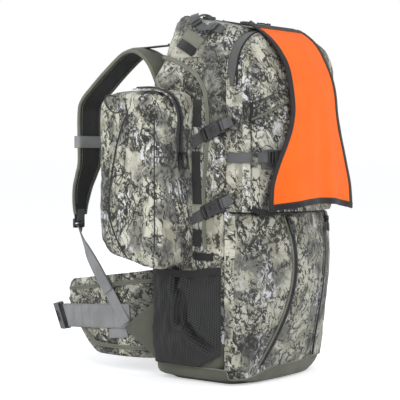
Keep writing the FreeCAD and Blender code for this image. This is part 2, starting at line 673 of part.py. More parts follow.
def lid_goods():
    """Grab handle with its keepers, and the two lid straps with their locks."""
    slope = math.degrees(math.atan(lid_fall / (bag_rear - bag_front)))
    y = bag_rear - crown_lean - handle_set_in
    foot = lid_z(y) + seat
    ends = foot + handle_cord / 2 + 1.6 + slip
    span = handle_span / 2
    path = Part.Wire([arc(Vector(-span, y, ends), Vector(0, y, ends + handle_rise), Vector(span, y, ends))])
    turn = 2 * math.atan(handle_rise / span)
    start = Vector(math.cos(turn), 0, math.sin(turn))
    ring = Part.Wire([Part.Circle(Vector(-span, y, ends), start, handle_cord / 2).toShape()])
    PIECES["grab_handle"] = path.makePipeShell([ring], True, True)
    keeps = []
    for x in (-span, span):
        keeper = box(x - 6.0, x + 6.0, y - 7.0, y + 7.0, lid_z(y) + seat, lid_z(y) + seat + 1.6)
        keeper.rotate(Vector(0, y, lid_z(y)), Vector(1, 0, 0), slope)
        keeps.append(keeper)
    TABS.extend(keeps)
    edge = lid_strap_x - narrow_web / 2
    run = box(-edge - narrow_web, -edge, bag_front + 64.0, bag_rear - crown_lean - 10.0,
              bag_height - 3 * lid_fall, 2 * bag_height)
    strap = lying(bag_form, web, run)
    PIECES["lid_straps"] = group([strap, mirrored(strap)])
    y_lock = 30.0
    rise = 2 * seat + web
    spot = Vector(-lid_strap_x, y_lock, lid_z(y_lock) + rise)
    tilt = math.radians(slope)
    lock = place(ladder_lock(), spot, Vector(0, -math.cos(tilt), -math.sin(tilt)),
                 Vector(0, -math.sin(tilt), math.cos(tilt)))
    LOCKS.extend([lock, mirrored(lock)])
    back = Vector(0, math.cos(tilt), math.sin(tilt))
    up = Vector(0, -math.sin(tilt), math.cos(tilt))
    out, inn = lid_zip_x + zip_width / 2, lid_zip_x - zip_width / 2
    z0, z1 = bag_height - 3 * lid_fall, 2 * bag_height
    loop = box(-out, out, lid_zip_front, lid_zip_rear, z0, z1)
    loop = loop.cut(box(-inn, inn, lid_zip_front - 1, lid_zip_rear - zip_width, z0, z1))
    ZIPS.append(lying(bag_form, zip_raise, loop))
    y_zip = lid_zip_front + 4.0
    zip_spot = Vector(lid_zip_x, y_zip, lid_z(y_zip)) + up * (2 * seat + zip_raise)
    PIECES["lid_slider"] = place(zip_slider().fuse(zip_pull()), zip_spot, back, up)


def webbing_tabs():
    """Folded webbing tabs: one on each shoulder of the bag and one at the foot of the lower pocket."""
    z = lid_seam_z + 24.0
    lean = math.atan((bag_half - crown_half) / (bag_height - shoulder_z))
    out = Vector(-math.cos(lean), 0, math.sin(lean))
    spot = Vector(-bag_half_at(z), 24.0, z) + out * seat
    hang = Vector(0, -0.86, -0.5)
    tab = place(box(-17, 17, -11, 11, 0, 2 * web), spot, hang - out * hang.dot(out), out)
    half, gusset, belly = lower_sizes(boot_height)
    foot = box(-34, -24, belly - 30, bag_front, boot_height + 2.0, boot_height + 20.0)
    TABS.extend([tab, mirrored(tab), lying(lower_form, web, foot)])


# ---------------------------------------------------------------- harness
# Inner face of each shoulder pad: x, depth behind the bag, height over the pad's root, width. The left
# strap stands out in its full arc and the right one hangs flatter, as slack straps do.
LEFT_PAD = (
    (0, 4, 0, 78), (0, 37, 66, 76), (0, 70, 93, 74), (1, 102, 93, 72), (2, 145, 64, 70),
    (4, 188, 27, 70), (6, 215, 0, 70), (8, 221, -28, pad_width), (8, 221, -120, pad_width),
    (12, 226, -150, pad_width), (18, 232, -179, 63), (23, 234, -215, 50), (26, 231, -239, 30),
)
RIGHT_PAD = (
    (0, 4, 0, 78), (0, 23, 62, 76), (0, 45, 80, 74), (1, 71, 66, 72), (2, 103, 30, 70),
    (4, 129, -2, 70), (8, 145, -28, pad_width), (8, 145, -120, pad_width),
    (10, 143, -150, pad_width), (14, 138, -179, 63), (18, 131, -215, 50), (20, 125, -239, 30),
)


def pad_points(rows, side):
    return [(Vector(side * (strap_x + x), bag_rear + back, strap_root_z + z), width) for x, back, z, width in rows]


def shoulder_pad(rows, side):
    """A padded strap: a band whose thickness stands outwards from its inner face."""
    points = pad_points(rows, side)
    across = Vector(1, 0, 0)
    stations = []
    for i, (point, width) in enumerate(points):
        ahead, behind = points[min(i + 1, len(points) - 1)][0], points[max(i - 1, 0)][0]
        stations.append((point, across, across.cross(ahead - behind), width))
    return band(stations, pad_thick).cut(bag_form(seat))


def shoulder_straps():
    across = Vector(1, 0, 0)
    lifters = []
    for name, rows, side in (("left", LEFT_PAD, -1), ("right", RIGHT_PAD, 1)):
        PIECES["shoulder_pad_" + name] = shoulder_pad(rows, side)
        points = [p for p, _ in pad_points(rows, side)]
        x = side * strap_x
        apex = max(p.z for p in points)
        rest = [p for p in points if p.z > apex - 2.0]
        landing = Vector(x, rest[0].y - 2.0, apex + pad_thick + seat)
        anchor = Vector(x, bag_rear_at(lifter_z) + seat, lifter_z + 1.0)
        toward = (landing - anchor).normalize()
        up = Vector(1, 0, 0).cross(toward)
        up = up if up.z > 0 else up * -1
        LOCKS.append(place(ladder_lock(), anchor, toward, up))
        start = anchor + toward * (16.0 + seat) + up * 1.0
        flat = Vector(0, 0, 1)
        stations = [(start, across, up, narrow_web), (landing, across, flat, narrow_web),
                    (Vector(x, rest[-1].y + 1.0, landing.z), across, flat, narrow_web)]
        lifters.append(band(stations, web).cut(shoulder_pad(rows, side)))
        tip = points[-1]
        spot = Vector(tip.x, tip.y + lock_set_back, tip.z - seat - tip_slant)
        LOCKS.append(place(ladder_lock(sternum_web, 20.0, 7.0), spot, Vector(0, 0, -1), Vector(0, 1, 0)))
    PIECES["load_lifters"] = group(lifters)


def sternum_strap():
    """Loops that ride on the pads, and the webbing and buckle between them."""
    z0, z1 = sternum_z - sternum_web / 2, sternum_z + sternum_web / 2
    x = strap_x + sternum_shift
    loops, ends = [], []
    for rows, side in ((LEFT_PAD, -1), (RIGHT_PAD, 1)):
        inner = bag_rear + rows[8 if side < 0 else 7][1]
        half = pad_width / 2 + slip
        hole = box(side * x - half, side * x + half, inner - slip, inner + pad_thick + slip, 0, bag_height)
        ring = box(side * x - half - web, side * x + half + web, inner - slip - web,
                   inner + pad_thick + slip + web, z0, z1)
        loops.append(ring.cut(hole))
        ends.append(Vector(side * (x - half - web - seat), inner + pad_thick - 2.0, sternum_z))
    PIECES["sternum_loops"] = group(loops)
    left, right = ends
    span = (right - left).Length
    along = (right - left).normalize()
    out = Vector(0, 0, 1).cross(along)
    out = out if out.y > 0 else out * -1
    mouth = left + along * (span / 2 + 6.0)
    female = place(female_half(), mouth, along * -1, out)
    male = place(male_half(), mouth, along * -1, out)
    up = Vector(0, 0, 1)
    lift = out * 3.0
    near = mouth - along * (buckle_length + seat)
    far = mouth + along * (20.0 + 2 * slip)
    wide = sternum_web - 3.0
    PIECES["sternum_female"] = female
    PIECES["sternum_male"] = male
    start, end = left - along * 2.4, right - along * 3.2
    PIECES["sternum_webs"] = group([
        band([(start + lift, up, out, wide), (near + lift, up, out, wide)], web),
        band([(far + lift, up, out, wide), (end + lift, up, out, wide)], web),
    ])


def wing_point(t, out):
    """A point of the hip wing's middle line at share t of its length, moved outwards, and its normal."""
    def centre(u):
        bow = wing_bow * math.sin(math.pi * min(1.0, max(0.0, u)) ** 0.6)
        return Vector(-wing_root_x - bow, wing_root_y() + wing_length * u, 0)
    step = 0.02
    ahead = (centre(min(1.0, t + step)) - centre(max(0.0, t - step))).normalize()
    normal = Vector(-ahead.y, ahead.x, 0)
    return centre(t) + normal * out, normal, ahead


def wing_root_y():
    return bag_rear + 2 * seat + wing_thick


def wing_heights(t):
    """Lower and upper edge of the wing: full at the root, rounded up to the tip."""
    rise = 0.54 * (wing_top - wing_bottom) * max(0.0, (t - 0.55) / 0.45) ** 1.6
    return wing_bottom + rise, wing_top - wing_fall * t


def belt_height(t):
    """Height of the belt webbing's middle at share t of the wing's length."""
    return belt_z - belt_fall * t


WING_STEPS = (0.0, 0.035, 0.12, 0.22, 0.35, 0.55, 0.7, 0.82, 0.91, 0.97, 1.0)


def hip_wings():
    up = Vector(0, 0, 1)
    stations = []
    for t in WING_STEPS:
        point, normal, _ = wing_point(t, -wing_thick / 2)
        low, high = wing_heights(t)
        stations.append((point + up * ((low + high) / 2), up, normal, high - low))
    low, high = wing_heights(0.0)
    roll = Part.makeCylinder(wing_thick / 2, high - low, Vector(-wing_root_x, wing_root_y(), low))
    PIECES["hip_wing_left"] = band(stations, wing_thick).fuse(roll)
    rows = []
    for t in WING_STEPS[3:]:
        point, normal, _ = wing_point(t, wing_thick / 2 + seat)
        rows.append((point + up * belt_height(t), up, normal, wide_web))
    tip, normal, ahead = wing_point(1.0, wing_thick / 2 + seat)
    bend = Vector(0.38, 0.92, -0.1).normalize()
    end = tip + bend * 12.0 + up * belt_height(1.0)
    lean = Vector(-0.18, 0.23, 0.956).normalize()
    rows.append((end, lean, lean.cross(bend), wide_web))
    PIECES["belt_web_left"] = band(rows, web)
    along = Vector(0.5, 0.87, -0.115).normalize()
    out = lean.cross(along).normalize()
    spot = end + along * 2 * seat - out * 5.0
    female = female_half(belt_buckle_length, belt_buckle_height, belt_buckle_thick)
    turned = place(female, spot + along * belt_buckle_length, along * -1, out)
    PIECES["belt_female"] = turned
    male = male_half(belt_male_length, belt_buckle_height, belt_buckle_thick)
    male = place(male, spot + along * (belt_male_length + slip), along, out)
    PIECES["belt_male"] = mirrored(male)
    for name in ("hip_wing_", "belt_web_"):
        PIECES[name + "right"] = mirrored(PIECES[name + "left"])


def adjusters():
    """Webbing from the strap locks down to the hip wings, and the cloth triangles that carry it."""
    skin = -(wing_root_x + wing_bow + wing_thick / 2 + 2 * seat + web + 0.4)
    webs = []
    y = wing_root_y()
    for rows, side in ((LEFT_PAD, -1), (RIGHT_PAD, 1)):
        tip = pad_points(rows, side)[-1][0]
        top = Vector(-abs(tip.x), tip.y + lock_set_back + 1.0, tip.z - tip_slant - 20.0 - 2 * seat)
        cross = Vector(skin, top.y - 88.0, wing_top + 6.0) if side < 0 else Vector(skin, y + 62.0, wing_top + 6.0)
        foot = Vector(skin, y + 52.0, belt_height(0.2) - 16.0)
        run = (foot - cross).normalize()
        flat = Vector(-1, 0, 0)
        lying_across = flat.cross(run)
        middle = (top + cross) * 0.5 + Vector(-2, 0, 0)
        drop = (cross - top).normalize()
        across = Vector(1, 0, 0)
        half_turn = (across + lying_across * (1 if lying_across.x + lying_across.y < 0 else -1)).normalize()
        stations = [(top, across, across.cross(drop)), (middle, half_turn, half_turn.cross(drop)),
                    (cross, lying_across, flat), (foot, lying_across, flat)]
        webs.append((stations, side))
    shapes = []
    for stations, side in webs:
        strap = band([(p, a, n, sternum_web) for p, a, n in stations], web)
        shapes.append(strap if side < 0 else mirrored(strap))
    PIECES["adjuster_webs"] = group(shapes)
    base_x = bag_half - rear_round * (1 - math.cos(math.radians(40)))
    base_y = bag_rear - rear_round * (1 - math.sin(math.radians(40)))
    lift = skin + seat
    apex = Vector(lift, y + 56.0, belt_height(0.2) - 24.0)
    corners = [Vector(-base_x + 3, base_y - 3, belt_z + 36.0), Vector(-base_x + 3, base_y - 3, wing_bottom + 2.0), apex]
    thick = Vector(-gather, 0, 0)
    sheet = prism(corners, thick).cut(bag_form(seat))
    PIECES["stabilizers"] = group([sheet, mirrored(sheet)])


def build():
    main_bag()
    frame_and_pads()
    front_pockets()
    lower_pocket_sliders()
    blaze_flap()
    side_pouches()
    mesh_pockets()
    compression_straps()
    lid_goods()
    webbing_tabs()
    shoulder_straps()
    sternum_strap()
    hip_wings()
    adjusters()
    PIECES["sewn_tabs"] = group(TABS)
    PIECES["ladder_locks"] = group(LOCKS)
    PIECES["zip_tapes"] = group(ZIPS)


def export():
    os.makedirs("parts", exist_ok=True)
    for name, shape in PIECES.items():
        shape.exportStep("parts/" + name + ".step")


build()
export()
for name, shape in sorted(PIECES.items()):
    b = shape.BoundBox
    print(f"{name:26s} solids {len(shape.Solids):2d} valid {shape.isValid()} volume {shape.Volume:11.0f}"
          f"  x {b.XMin:7.1f} {b.XMax:7.1f}  y {b.YMin:7.1f} {b.YMax:7.1f}  z {b.ZMin:7.1f} {b.ZMax:7.1f}")
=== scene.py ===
"""Looks of the hunting backpack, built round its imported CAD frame: metres, +Z up, outer face to -Y.

Shapes are worked out in millimetres, as the frame's own sizes are, and go into each mesh in metres.
"""

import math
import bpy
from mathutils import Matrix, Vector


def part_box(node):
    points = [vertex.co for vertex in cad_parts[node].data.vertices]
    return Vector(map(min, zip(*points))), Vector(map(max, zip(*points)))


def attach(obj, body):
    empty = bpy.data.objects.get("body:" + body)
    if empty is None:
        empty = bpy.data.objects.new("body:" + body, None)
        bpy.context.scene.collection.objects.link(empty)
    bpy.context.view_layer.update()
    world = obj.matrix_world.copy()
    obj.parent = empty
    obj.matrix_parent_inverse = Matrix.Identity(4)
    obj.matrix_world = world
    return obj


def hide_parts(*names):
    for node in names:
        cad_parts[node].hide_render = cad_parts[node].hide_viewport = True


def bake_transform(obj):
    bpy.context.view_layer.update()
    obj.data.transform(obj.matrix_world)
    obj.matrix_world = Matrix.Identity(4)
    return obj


bl_info = {
    "name": "Hunting backpack",
    "version": (1, 0, 0),
    "blender": (4, 5, 0),
    "location": "3D View > Sidebar > Backpack",
    "description": "Cloth, webbing, zips and buckles of a hunting backpack round its frame",
    "category": "Add Mesh",
}

import bmesh
import bpy
from bpy.props import FloatProperty, FloatVectorProperty, PointerProperty
from mathutils import Matrix, Vector, noise
from mathutils.geometry import tessellate_polygon

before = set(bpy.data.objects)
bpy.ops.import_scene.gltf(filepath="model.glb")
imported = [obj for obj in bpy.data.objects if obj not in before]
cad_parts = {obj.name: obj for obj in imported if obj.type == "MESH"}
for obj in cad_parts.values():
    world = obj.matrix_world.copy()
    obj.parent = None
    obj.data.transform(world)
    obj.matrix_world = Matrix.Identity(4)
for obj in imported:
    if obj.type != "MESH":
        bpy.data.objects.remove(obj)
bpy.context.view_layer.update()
MM = 0.001
BAG = "bag"


def frame_box(node):
    """Lowest and highest corner of a CAD node, in millimetres."""
    low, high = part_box(node)
    return low / MM, high / MM


# ---------------------------------------------------------------- sizes, in millimetres, from the frame
SIDE_BOX = frame_box("side_panel_left")
LID_BOX = frame_box("lid_panel")
UPPER_BOX = frame_box("upper_pocket")
POUCH_BOX = frame_box("side_pouch_left")
MESH_BOX = frame_box("mesh_pocket_left")
MESH_TOP = MESH_BOX[1].z
MESH_FRONT, MESH_RUN, MESH_FOOT = -77.0, 178.0, 32.0
BAG_HALF = -SIDE_BOX[0].x
BAG_FRONT, BAG_REAR = SIDE_BOX[0].y, SIDE_BOX[1].y
BAG_FOOT = SIDE_BOX[0].z
LID_SEAM = LID_BOX[0].z
SHOULDER_Z = 580.0          # above this height the sides lean in
CROWN_HALF = 88.0           # half width at the lid's rear edge
CROWN_LEAN = 13.0
LID_Z, LID_FALL = 712.0, 32.0
FRONT_ROUND, REAR_ROUND = 24.0, 38.0
SEAM_HALF = 100.0
UPPER_BOTTOM, UPPER_TOP = UPPER_BOX[0].z, UPPER_BOX[1].z
UPPER_HALF, UPPER_TOP_HALF, UPPER_RISE = UPPER_BOX[1].x, 60.0, 80.0
UPPER_GUSSET, UPPER_BELLY = 44.0, 98.0
UPPER_LEAN_Z, UPPER_LEAN = 520.0, 66.0
LOWER_TOP, LOWER_GUSSET, LOWER_BELLY, LOWER_FOOT, LOWER_PEAK = 328.0, 30.0, 99.0, 44.0, 245.0
BOOT_TOP = frame_box("base_boot")[1].z
FLAP_TOP_Y, FLAP_TOP_Z = -93.0, 683.0
FLAP_FOOT_Z, FLAP_WAIST_Z, FLAP_CORNER_Z = 330.0, 530.0, 362.0
FLAP_TOP_HALF, FLAP_WAIST_HALF, FLAP_FOOT_HALF = 76.0, 75.0, 125.0
FLAP_OUT, FLAP_SHOULDER, FLAP_ARCH = -200.0, 52.0, 13.0
STRAP_X = 72.0
WING_ROOT_X, WING_ROOT_Y, WING_LENGTH, WING_BOW = 108.0, 114.6, 238.0, 27.0
WING_TOP, WING_FALL, WING_BOTTOM, WING_THICK = 207.0, 32.0, 31.0, 13.0
BELT_Z, BELT_FALL, BELT_WIDE = 118.0, 19.0, 49.0
STERNUM_Z = 462.0


# ---------------------------------------------------------------- what a user may change
def hex_colour(code):
    """An sRGB hex value as a linear colour."""
    parts = [int(code[i:i + 2], 16) / 255 for i in (1, 3, 5)]
    return [c / 12.92 if c <= 0.04045 else ((c + 0.055) / 1.055) ** 2.4 for c in parts] + [1.0]


def colour_property(name, code, description):
    return FloatVectorProperty(name=name, description=description, size=4, subtype="COLOR", min=0, max=1,
                               default=hex_colour(code))


def length_property(name, value, description):
    return FloatProperty(name=name, description=description, default=value * MM, unit="LENGTH", min=0)


class PackSizes(bpy.types.PropertyGroup):
    cloth_puff: length_property("Cloth puff", 5.0, "How far the packed cloth bulges between its seams")
    cloth_crease: length_property("Cloth crease", 2.2, "Height of the creases of the bag's cloth")
    flap_fold: length_property("Flap fold", 6.0, "Depth of the folds that hang in the blaze flap")
    mesh_slack: length_property("Mesh slack", 8.0, "Depth of the folds of the slack mesh pockets")
    piping: length_property("Piping", 1.6, "Radius of the piping in the seams")
    stitch_pitch: length_property("Stitch pitch", 4.0, "Distance from one stitch to the next")


class PackColours(bpy.types.PropertyGroup):
    camo_light: colour_property("Camo light", "#D2D0BF", "Light ground of the print")
    camo_tan: colour_property("Camo tan", "#A3A08E", "Darker ground of the print")
    camo_grey: colour_property("Camo grey", "#70716E", "Cloudy patches of the print")
    camo_dark: colour_property("Camo dark", "#222320", "Speckles, shoots and shadows of the print")
    camo_white: colour_property("Camo white", "#E2E3E8", "Cool streaks of the print")
    blaze: colour_property("Blaze", "#FF6B0A", "Signal cloth of the flap")
    olive: colour_property("Olive", "#5A5B4E", "Plain cloth of the boot and straps")
    tape: colour_property("Tape", "#7F8070", "Olive tape and piping")
    webbing: colour_property("Webbing", "#939393", "Webbing of the belt")
    dark: colour_property("Dark", "#262626", "Mesh, elastic and binding")
    plastic: colour_property("Plastic", "#39393A", "Moulded buckles")


# ---------------------------------------------------------------- nodes and materials
def add_node(tree, kind, values=None, links=None, **settings):
    """Adds one node: its settings by name, its sockets' values, and the outputs that feed it."""
    node = tree.nodes.new(kind)
    for name, value in settings.items():
        setattr(node, name, value)
    for socket, value in (values or {}).items():
        node.inputs[socket].default_value = value
    for socket, source in (links or {}).items():
        tree.links.new(source, node.inputs[socket])
    return node


def ramp(tree, source, low, high):
    """A soft step of a value between two limits."""
    return add_node(tree, "ShaderNodeMapRange", {1: low, 2: high}, {0: source},
                    interpolation_type="SMOOTHSTEP").outputs[0]


def math_node(tree, operation, a, b=None):
    """One sum of two values, each an output or a number."""
    node = add_node(tree, "ShaderNodeMath", operation=operation)
    for i, x in enumerate((a, b)):
        if x is None:
            continue
        if isinstance(x, (int, float)):
            node.inputs[i].default_value = x
        else:
            tree.links.new(x, node.inputs[i])
    return node.outputs[0]


def mix_colour(tree, factor, a, b):
    """Colour a where the factor is 0 and b where it is 1, each an output or a colour."""
    node = add_node(tree, "ShaderNodeMix", data_type="RGBA")
    for i, x in ((0, factor), (6, a), (7, b)):
        if isinstance(x, bpy.types.NodeSocket):
            tree.links.new(x, node.inputs[i])
        else:
            node.inputs[i].default_value = x
    return node.outputs[2]


def noise_value(tree, vector, scale, detail=2.0, rough=0.5, warp=0.0):
    return add_node(tree, "ShaderNodeTexNoise", {"Scale": scale, "Detail": detail, "Roughness": rough,
                                                "Distortion": warp}, {"Vector": vector}).outputs[0]


def new_material(name):
    mat = bpy.data.materials.new(name)
    mat.use_nodes = True
    tree = mat.node_tree
    shader = tree.nodes["Principled BSDF"]
    return mat, tree, shader


def place_vector(tree, shift=(0, 0, 0), turn=(0, 0, 0), scale=(1, 1, 1), source="Object"):
    """Object coordinates in metres, moved and turned so that each piece is cut from its own cloth."""
    coords = add_node(tree, "ShaderNodeTexCoord").outputs[source]
    return add_node(tree, "ShaderNodeMapping", {1: shift, 2: turn, 3: scale}, {0: coords}).outputs[0]


def bumped(tree, shader, height, distance, strength=1.0):
    bump = add_node(tree, "ShaderNodeBump", {"Strength": strength, "Distance": distance}, {"Height": height})
    tree.links.new(bump.outputs[0], shader.inputs["Normal"])


def weave_height(tree, vector, pitch):
    """Plain weave: threads one way and the other, pitch millimetres apart."""
    split = add_node(tree, "ShaderNodeSeparateXYZ", links={0: vector}).outputs
    turns = 2 * math.pi / (pitch * MM)
    flat = math_node(tree, "ADD", split[0], split[1])
    one = math_node(tree, "SINE", math_node(tree, "MULTIPLY", flat, turns))
    two = math_node(tree, "SINE", math_node(tree, "MULTIPLY", split[2], turns))
    return math_node(tree, "MULTIPLY", one, two)


def camo_group(colours):
    """The print: pale ground, mottled grey clouds, bark-like streaks, leaflet clusters and crossing twigs."""
    tree = bpy.data.node_groups.new("camo_print", "ShaderNodeTree")
    tree.interface.new_socket("Vector", in_out="INPUT", socket_type="NodeSocketVector")
    tree.interface.new_socket("Colour", in_out="OUTPUT", socket_type="NodeSocketColor")
    at = add_node(tree, "NodeGroupInput").outputs[0]

    def times(a, b):
        return math_node(tree, "MULTIPLY", a, b)
    wander = add_node(tree, "ShaderNodeTexNoise", {"Scale": 45.0, "Detail": 3.0}, {"Vector": at}).outputs["Color"]
    shift = add_node(tree, "ShaderNodeVectorMath", {1: (0.5, 0.5, 0.5)}, {0: wander},
                     operation="SUBTRACT").outputs[0]
    small = add_node(tree, "ShaderNodeVectorMath", {"Scale": 0.024}, {0: shift}, operation="SCALE").outputs[0]
    torn = add_node(tree, "ShaderNodeVectorMath", links={0: at, 1: small}, operation="ADD").outputs[0]
    ground = mix_colour(tree, ramp(tree, noise_value(tree, torn, 30.0, 4.0), 0.42, 0.6),
                        colours.camo_light, colours.camo_tan)
    # grey clouds of 30 to 80 mm, mottled, with a deeper shade in their middle
    region = math_node(tree, "SUBTRACT", noise_value(tree, at, 5.5, 2.0), 0.5)
    cloud = math_node(tree, "ADD", noise_value(tree, torn, 13.0, 6.0, 0.62), times(region, 0.55))
    middle = [(a + b) / 2 for a, b in zip(colours.camo_grey, colours.camo_tan)]
    mottle = mix_colour(tree, ramp(tree, noise_value(tree, torn, 95.0, 4.0, 0.65), 0.4, 0.6), middle,
                        colours.camo_grey)
    ground = mix_colour(tree, times(ramp(tree, cloud, 0.49, 0.555), 0.92), ground, mottle)
    deep = times(ramp(tree, cloud, 0.55, 0.64), ramp(tree, noise_value(tree, torn, 62.0, 5.0, 0.65), 0.4, 0.56))
    ground = mix_colour(tree, times(deep, 0.8), ground, colours.camo_dark)
    # bark: pale and dark fibres side by side, in patches
    long = add_node(tree, "ShaderNodeMapping", {2: (0.25, 0.15, 0.3), 3: (1.0, 1.0, 0.15)}, {0: torn}).outputs[0]
    fibre = noise_value(tree, long, 150.0, 4.0, 0.7)
    patch = ramp(tree, noise_value(tree, at, 9.5, 2.0), 0.535, 0.6)
    ground = mix_colour(tree, times(ramp(tree, fibre, 0.5, 0.57), patch), ground, colours.camo_white)
    ground = mix_colour(tree, times(times(ramp(tree, fibre, 0.49, 0.42), patch), 0.85), ground, colours.camo_dark)
    # leaflets of 3 to 8 mm and finer specks, in clusters
    leaf = add_node(tree, "ShaderNodeTexVoronoi", {"Scale": 128.0, "Randomness": 1.0}, {"Vector": torn}).outputs[0]
    leaf = math_node(tree, "SUBTRACT", 1.0, ramp(tree, leaf, 0.33, 0.42))
    fine = ramp(tree, noise_value(tree, torn, 150.0, 4.0, 0.75), 0.505, 0.545)
    where = ramp(tree, noise_value(tree, torn, 17.0, 5.0, 0.65), 0.505, 0.55)
    specks = times(math_node(tree, "MAXIMUM", leaf, fine), where)
    ground = mix_colour(tree, times(specks, 0.9), ground, colours.camo_dark)
    # twigs: level lines of smooth noises, drawn out one way and the other
    for turn, scale, low, high, mask in (((0.6, 0.3, 0.2), 40.0, 0.01, 0.022, 15.0),
                                         ((-0.7, -0.2, 0.5), 52.0, 0.012, 0.026, 18.0),
                                         ((0.1, 0.5, -0.4), 74.0, 0.016, 0.036, 23.0)):
        drawn = add_node(tree, "ShaderNodeMapping", {2: turn, 3: (1.0, 1.0, 0.45)}, {0: torn}).outputs[0]
        field = math_node(tree, "SUBTRACT", noise_value(tree, drawn, scale, 2.5, 0.45), 0.5)
        twig = math_node(tree, "SUBTRACT", 1.0, ramp(tree, math_node(tree, "ABSOLUTE", field), low, high))
        twig = times(twig, ramp(tree, noise_value(tree, drawn, mask, 2.0), 0.44, 0.52))
        ground = mix_colour(tree, times(twig, 0.92), ground, colours.camo_dark)
    out = add_node(tree, "NodeGroupOutput")
    tree.links.new(ground, out.inputs[0])
    return tree


def camo_cloth(name, shift, turn, group, shade=0.0):
    """Matt woven nylon with the print: a soft sheen at grazing angles and creases in the weave."""
    mat, tree, shader = new_material(name)
    at = place_vector(tree, shift, turn)
    print_node = add_node(tree, "ShaderNodeGroup", node_tree=group)
    tree.links.new(at, print_node.inputs[0])
    tree.links.new(mix_colour(tree, shade, print_node.outputs[0], (0.03, 0.03, 0.028, 1)),
                   shader.inputs["Base Color"])
    shader.inputs["Roughness"].default_value = 0.86
    shader.inputs["Sheen Weight"].default_value = 0.12
    weave = weave_height(tree, at, 2.0)
    crinkle = math_node(tree, "MULTIPLY", noise_value(tree, at, 60.0, 5.0, 0.6), 2.4)
    bumped(tree, shader, math_node(tree, "ADD", weave, crinkle), 0.0005, 0.55)
    return mat


def plain_cloth(name, colour, pitch, rough=0.85, spread=0.16, sheen=0.15, depth=0.0004):
    """Plain woven cloth: a little lighter and darker over its surface, threads pitch millimetres apart."""
    mat, tree, shader = new_material(name)
    at = place_vector(tree)
    tone = noise_value(tree, at, 18.0, 5.0, 0.6)
    dark = [c * (1 - spread) for c in colour[:3]] + [1]
    light = [min(1.0, c * (1 + spread)) for c in colour[:3]] + [1]
    tree.links.new(mix_colour(tree, ramp(tree, tone, 0.35, 0.65), dark, light), shader.inputs["Base Color"])
    shader.inputs["Roughness"].default_value = rough
    shader.inputs["Sheen Weight"].default_value = sheen
    weave = weave_height(tree, at, pitch)
    crinkle = math_node(tree, "MULTIPLY", noise_value(tree, at, 70.0, 4.0, 0.6), 2.0)
    bumped(tree, shader, math_node(tree, "ADD", weave, crinkle), depth, 0.6)
    return mat


def strap_cloth(name, colour, rib=2.4, rough=0.8, edge=0.12, width_share=0.5, spread=0.1):
    """Woven webbing or tape: ribs across it and a firmer, darker edge, along the piece's own UV map."""
    mat, tree, shader = new_material(name)
    uv = add_node(tree, "ShaderNodeTexCoord").outputs["UV"]
    split = add_node(tree, "ShaderNodeSeparateXYZ", links={0: uv}).outputs
    turns = 2 * math.pi / (rib * MM)
    along = math_node(tree, "SINE", math_node(tree, "MULTIPLY", split[1], turns))
    across = math_node(tree, "SINE", math_node(tree, "MULTIPLY", split[0], 14 * math.pi))
    weave = math_node(tree, "MULTIPLY", along, across)
    side = math_node(tree, "ABSOLUTE", math_node(tree, "SUBTRACT", split[0], 0.5))
    rim = ramp(tree, side, width_share - edge, width_share)
    tone = noise_value(tree, place_vector(tree), 30.0, 4.0)
    dark = [c * (1 - spread) for c in colour[:3]] + [1]
    light = [min(1.0, c * (1 + spread)) for c in colour[:3]] + [1]
    body = mix_colour(tree, ramp(tree, tone, 0.35, 0.65), dark, light)
    body = mix_colour(tree, math_node(tree, "MULTIPLY", ramp(tree, weave, -1.0, 1.0), 0.25), body,
                      [c * 0.55 for c in colour[:3]] + [1])
    body = mix_colour(tree, math_node(tree, "MULTIPLY", rim, 0.35), body, [c * 0.5 for c in colour[:3]] + [1])
    tree.links.new(body, shader.inputs["Base Color"])
    shader.inputs["Roughness"].default_value = rough
    shader.inputs["Sheen Weight"].default_value = 0.1
    bumped(tree, shader, weave, 0.0004, 0.7)
    return mat


def knit_mesh(name, colour, thread, pitch, rough=0.8, flat=False):
    """Knitted mesh: lighter threads round holes painted dark as the shade seen through them, on a six-sided net,
    pitch millimetres apart.
    """
    mat, tree, shader = new_material(name)
    at = place_vector(tree)
    split = add_node(tree, "ShaderNodeSeparateXYZ", links={0: at}).outputs
    turns = 2 * math.pi / (pitch * MM)
    run = split[0] if flat else split[1]
    waves = []
    for angle in (0, 60, 120):
        c, s = math.cos(math.radians(angle)) * turns, math.sin(math.radians(angle)) * turns
        inner = math_node(tree, "ADD", math_node(tree, "MULTIPLY", run, c),
                          math_node(tree, "MULTIPLY", split[2], s))
        waves.append(math_node(tree, "COSINE", inner))
    total = math_node(tree, "ADD", math_node(tree, "ADD", waves[0], waves[1]), waves[2])
    shaded_hole = ramp(tree, total, -0.7, 0.5)
    # the holes get the dark colour: painted shade of the inside seen through them
    body = mix_colour(tree, shaded_hole, thread, colour)
    tone = ramp(tree, noise_value(tree, at, 22.0, 3.0), 0.3, 0.7)
    body = mix_colour(tree, math_node(tree, "MULTIPLY", tone, 0.35), body, [c * 0.5 for c in colour[:3]] + [1])
    tree.links.new(body, shader.inputs["Base Color"])
    shader.inputs["Roughness"].default_value = rough
    shader.inputs["Sheen Weight"].default_value = 0.03
    bumped(tree, shader, math_node(tree, "SUBTRACT", 1.0, shaded_hole), 0.0009, 0.8)
    return mat


def moulded(name, colour, rough=0.42, grain=260.0, metallic=0.0):
    """Moulded plastic or lacquered zinc: satin, with a fine spark-eroded grain and duller scuffs."""
    mat, tree, shader = new_material(name)
    at = place_vector(tree)
    scuff = ramp(tree, noise_value(tree, at, 55.0, 6.0, 0.7), 0.45, 0.7)
    tree.links.new(mix_colour(tree, math_node(tree, "MULTIPLY", scuff, 0.5), colour,
                              [min(1, c * 1.8 + 0.01) for c in colour[:3]] + [1]), shader.inputs["Base Color"])
    rough_map = add_node(tree, "ShaderNodeMapRange", {3: rough - 0.08, 4: rough + 0.14}, {0: scuff}).outputs[0]
    tree.links.new(rough_map, shader.inputs["Roughness"])
    shader.inputs["Metallic"].default_value = metallic
    bumped(tree, shader, noise_value(tree, at, grain * 4, 2.0), 0.0002, 0.4)
    return mat


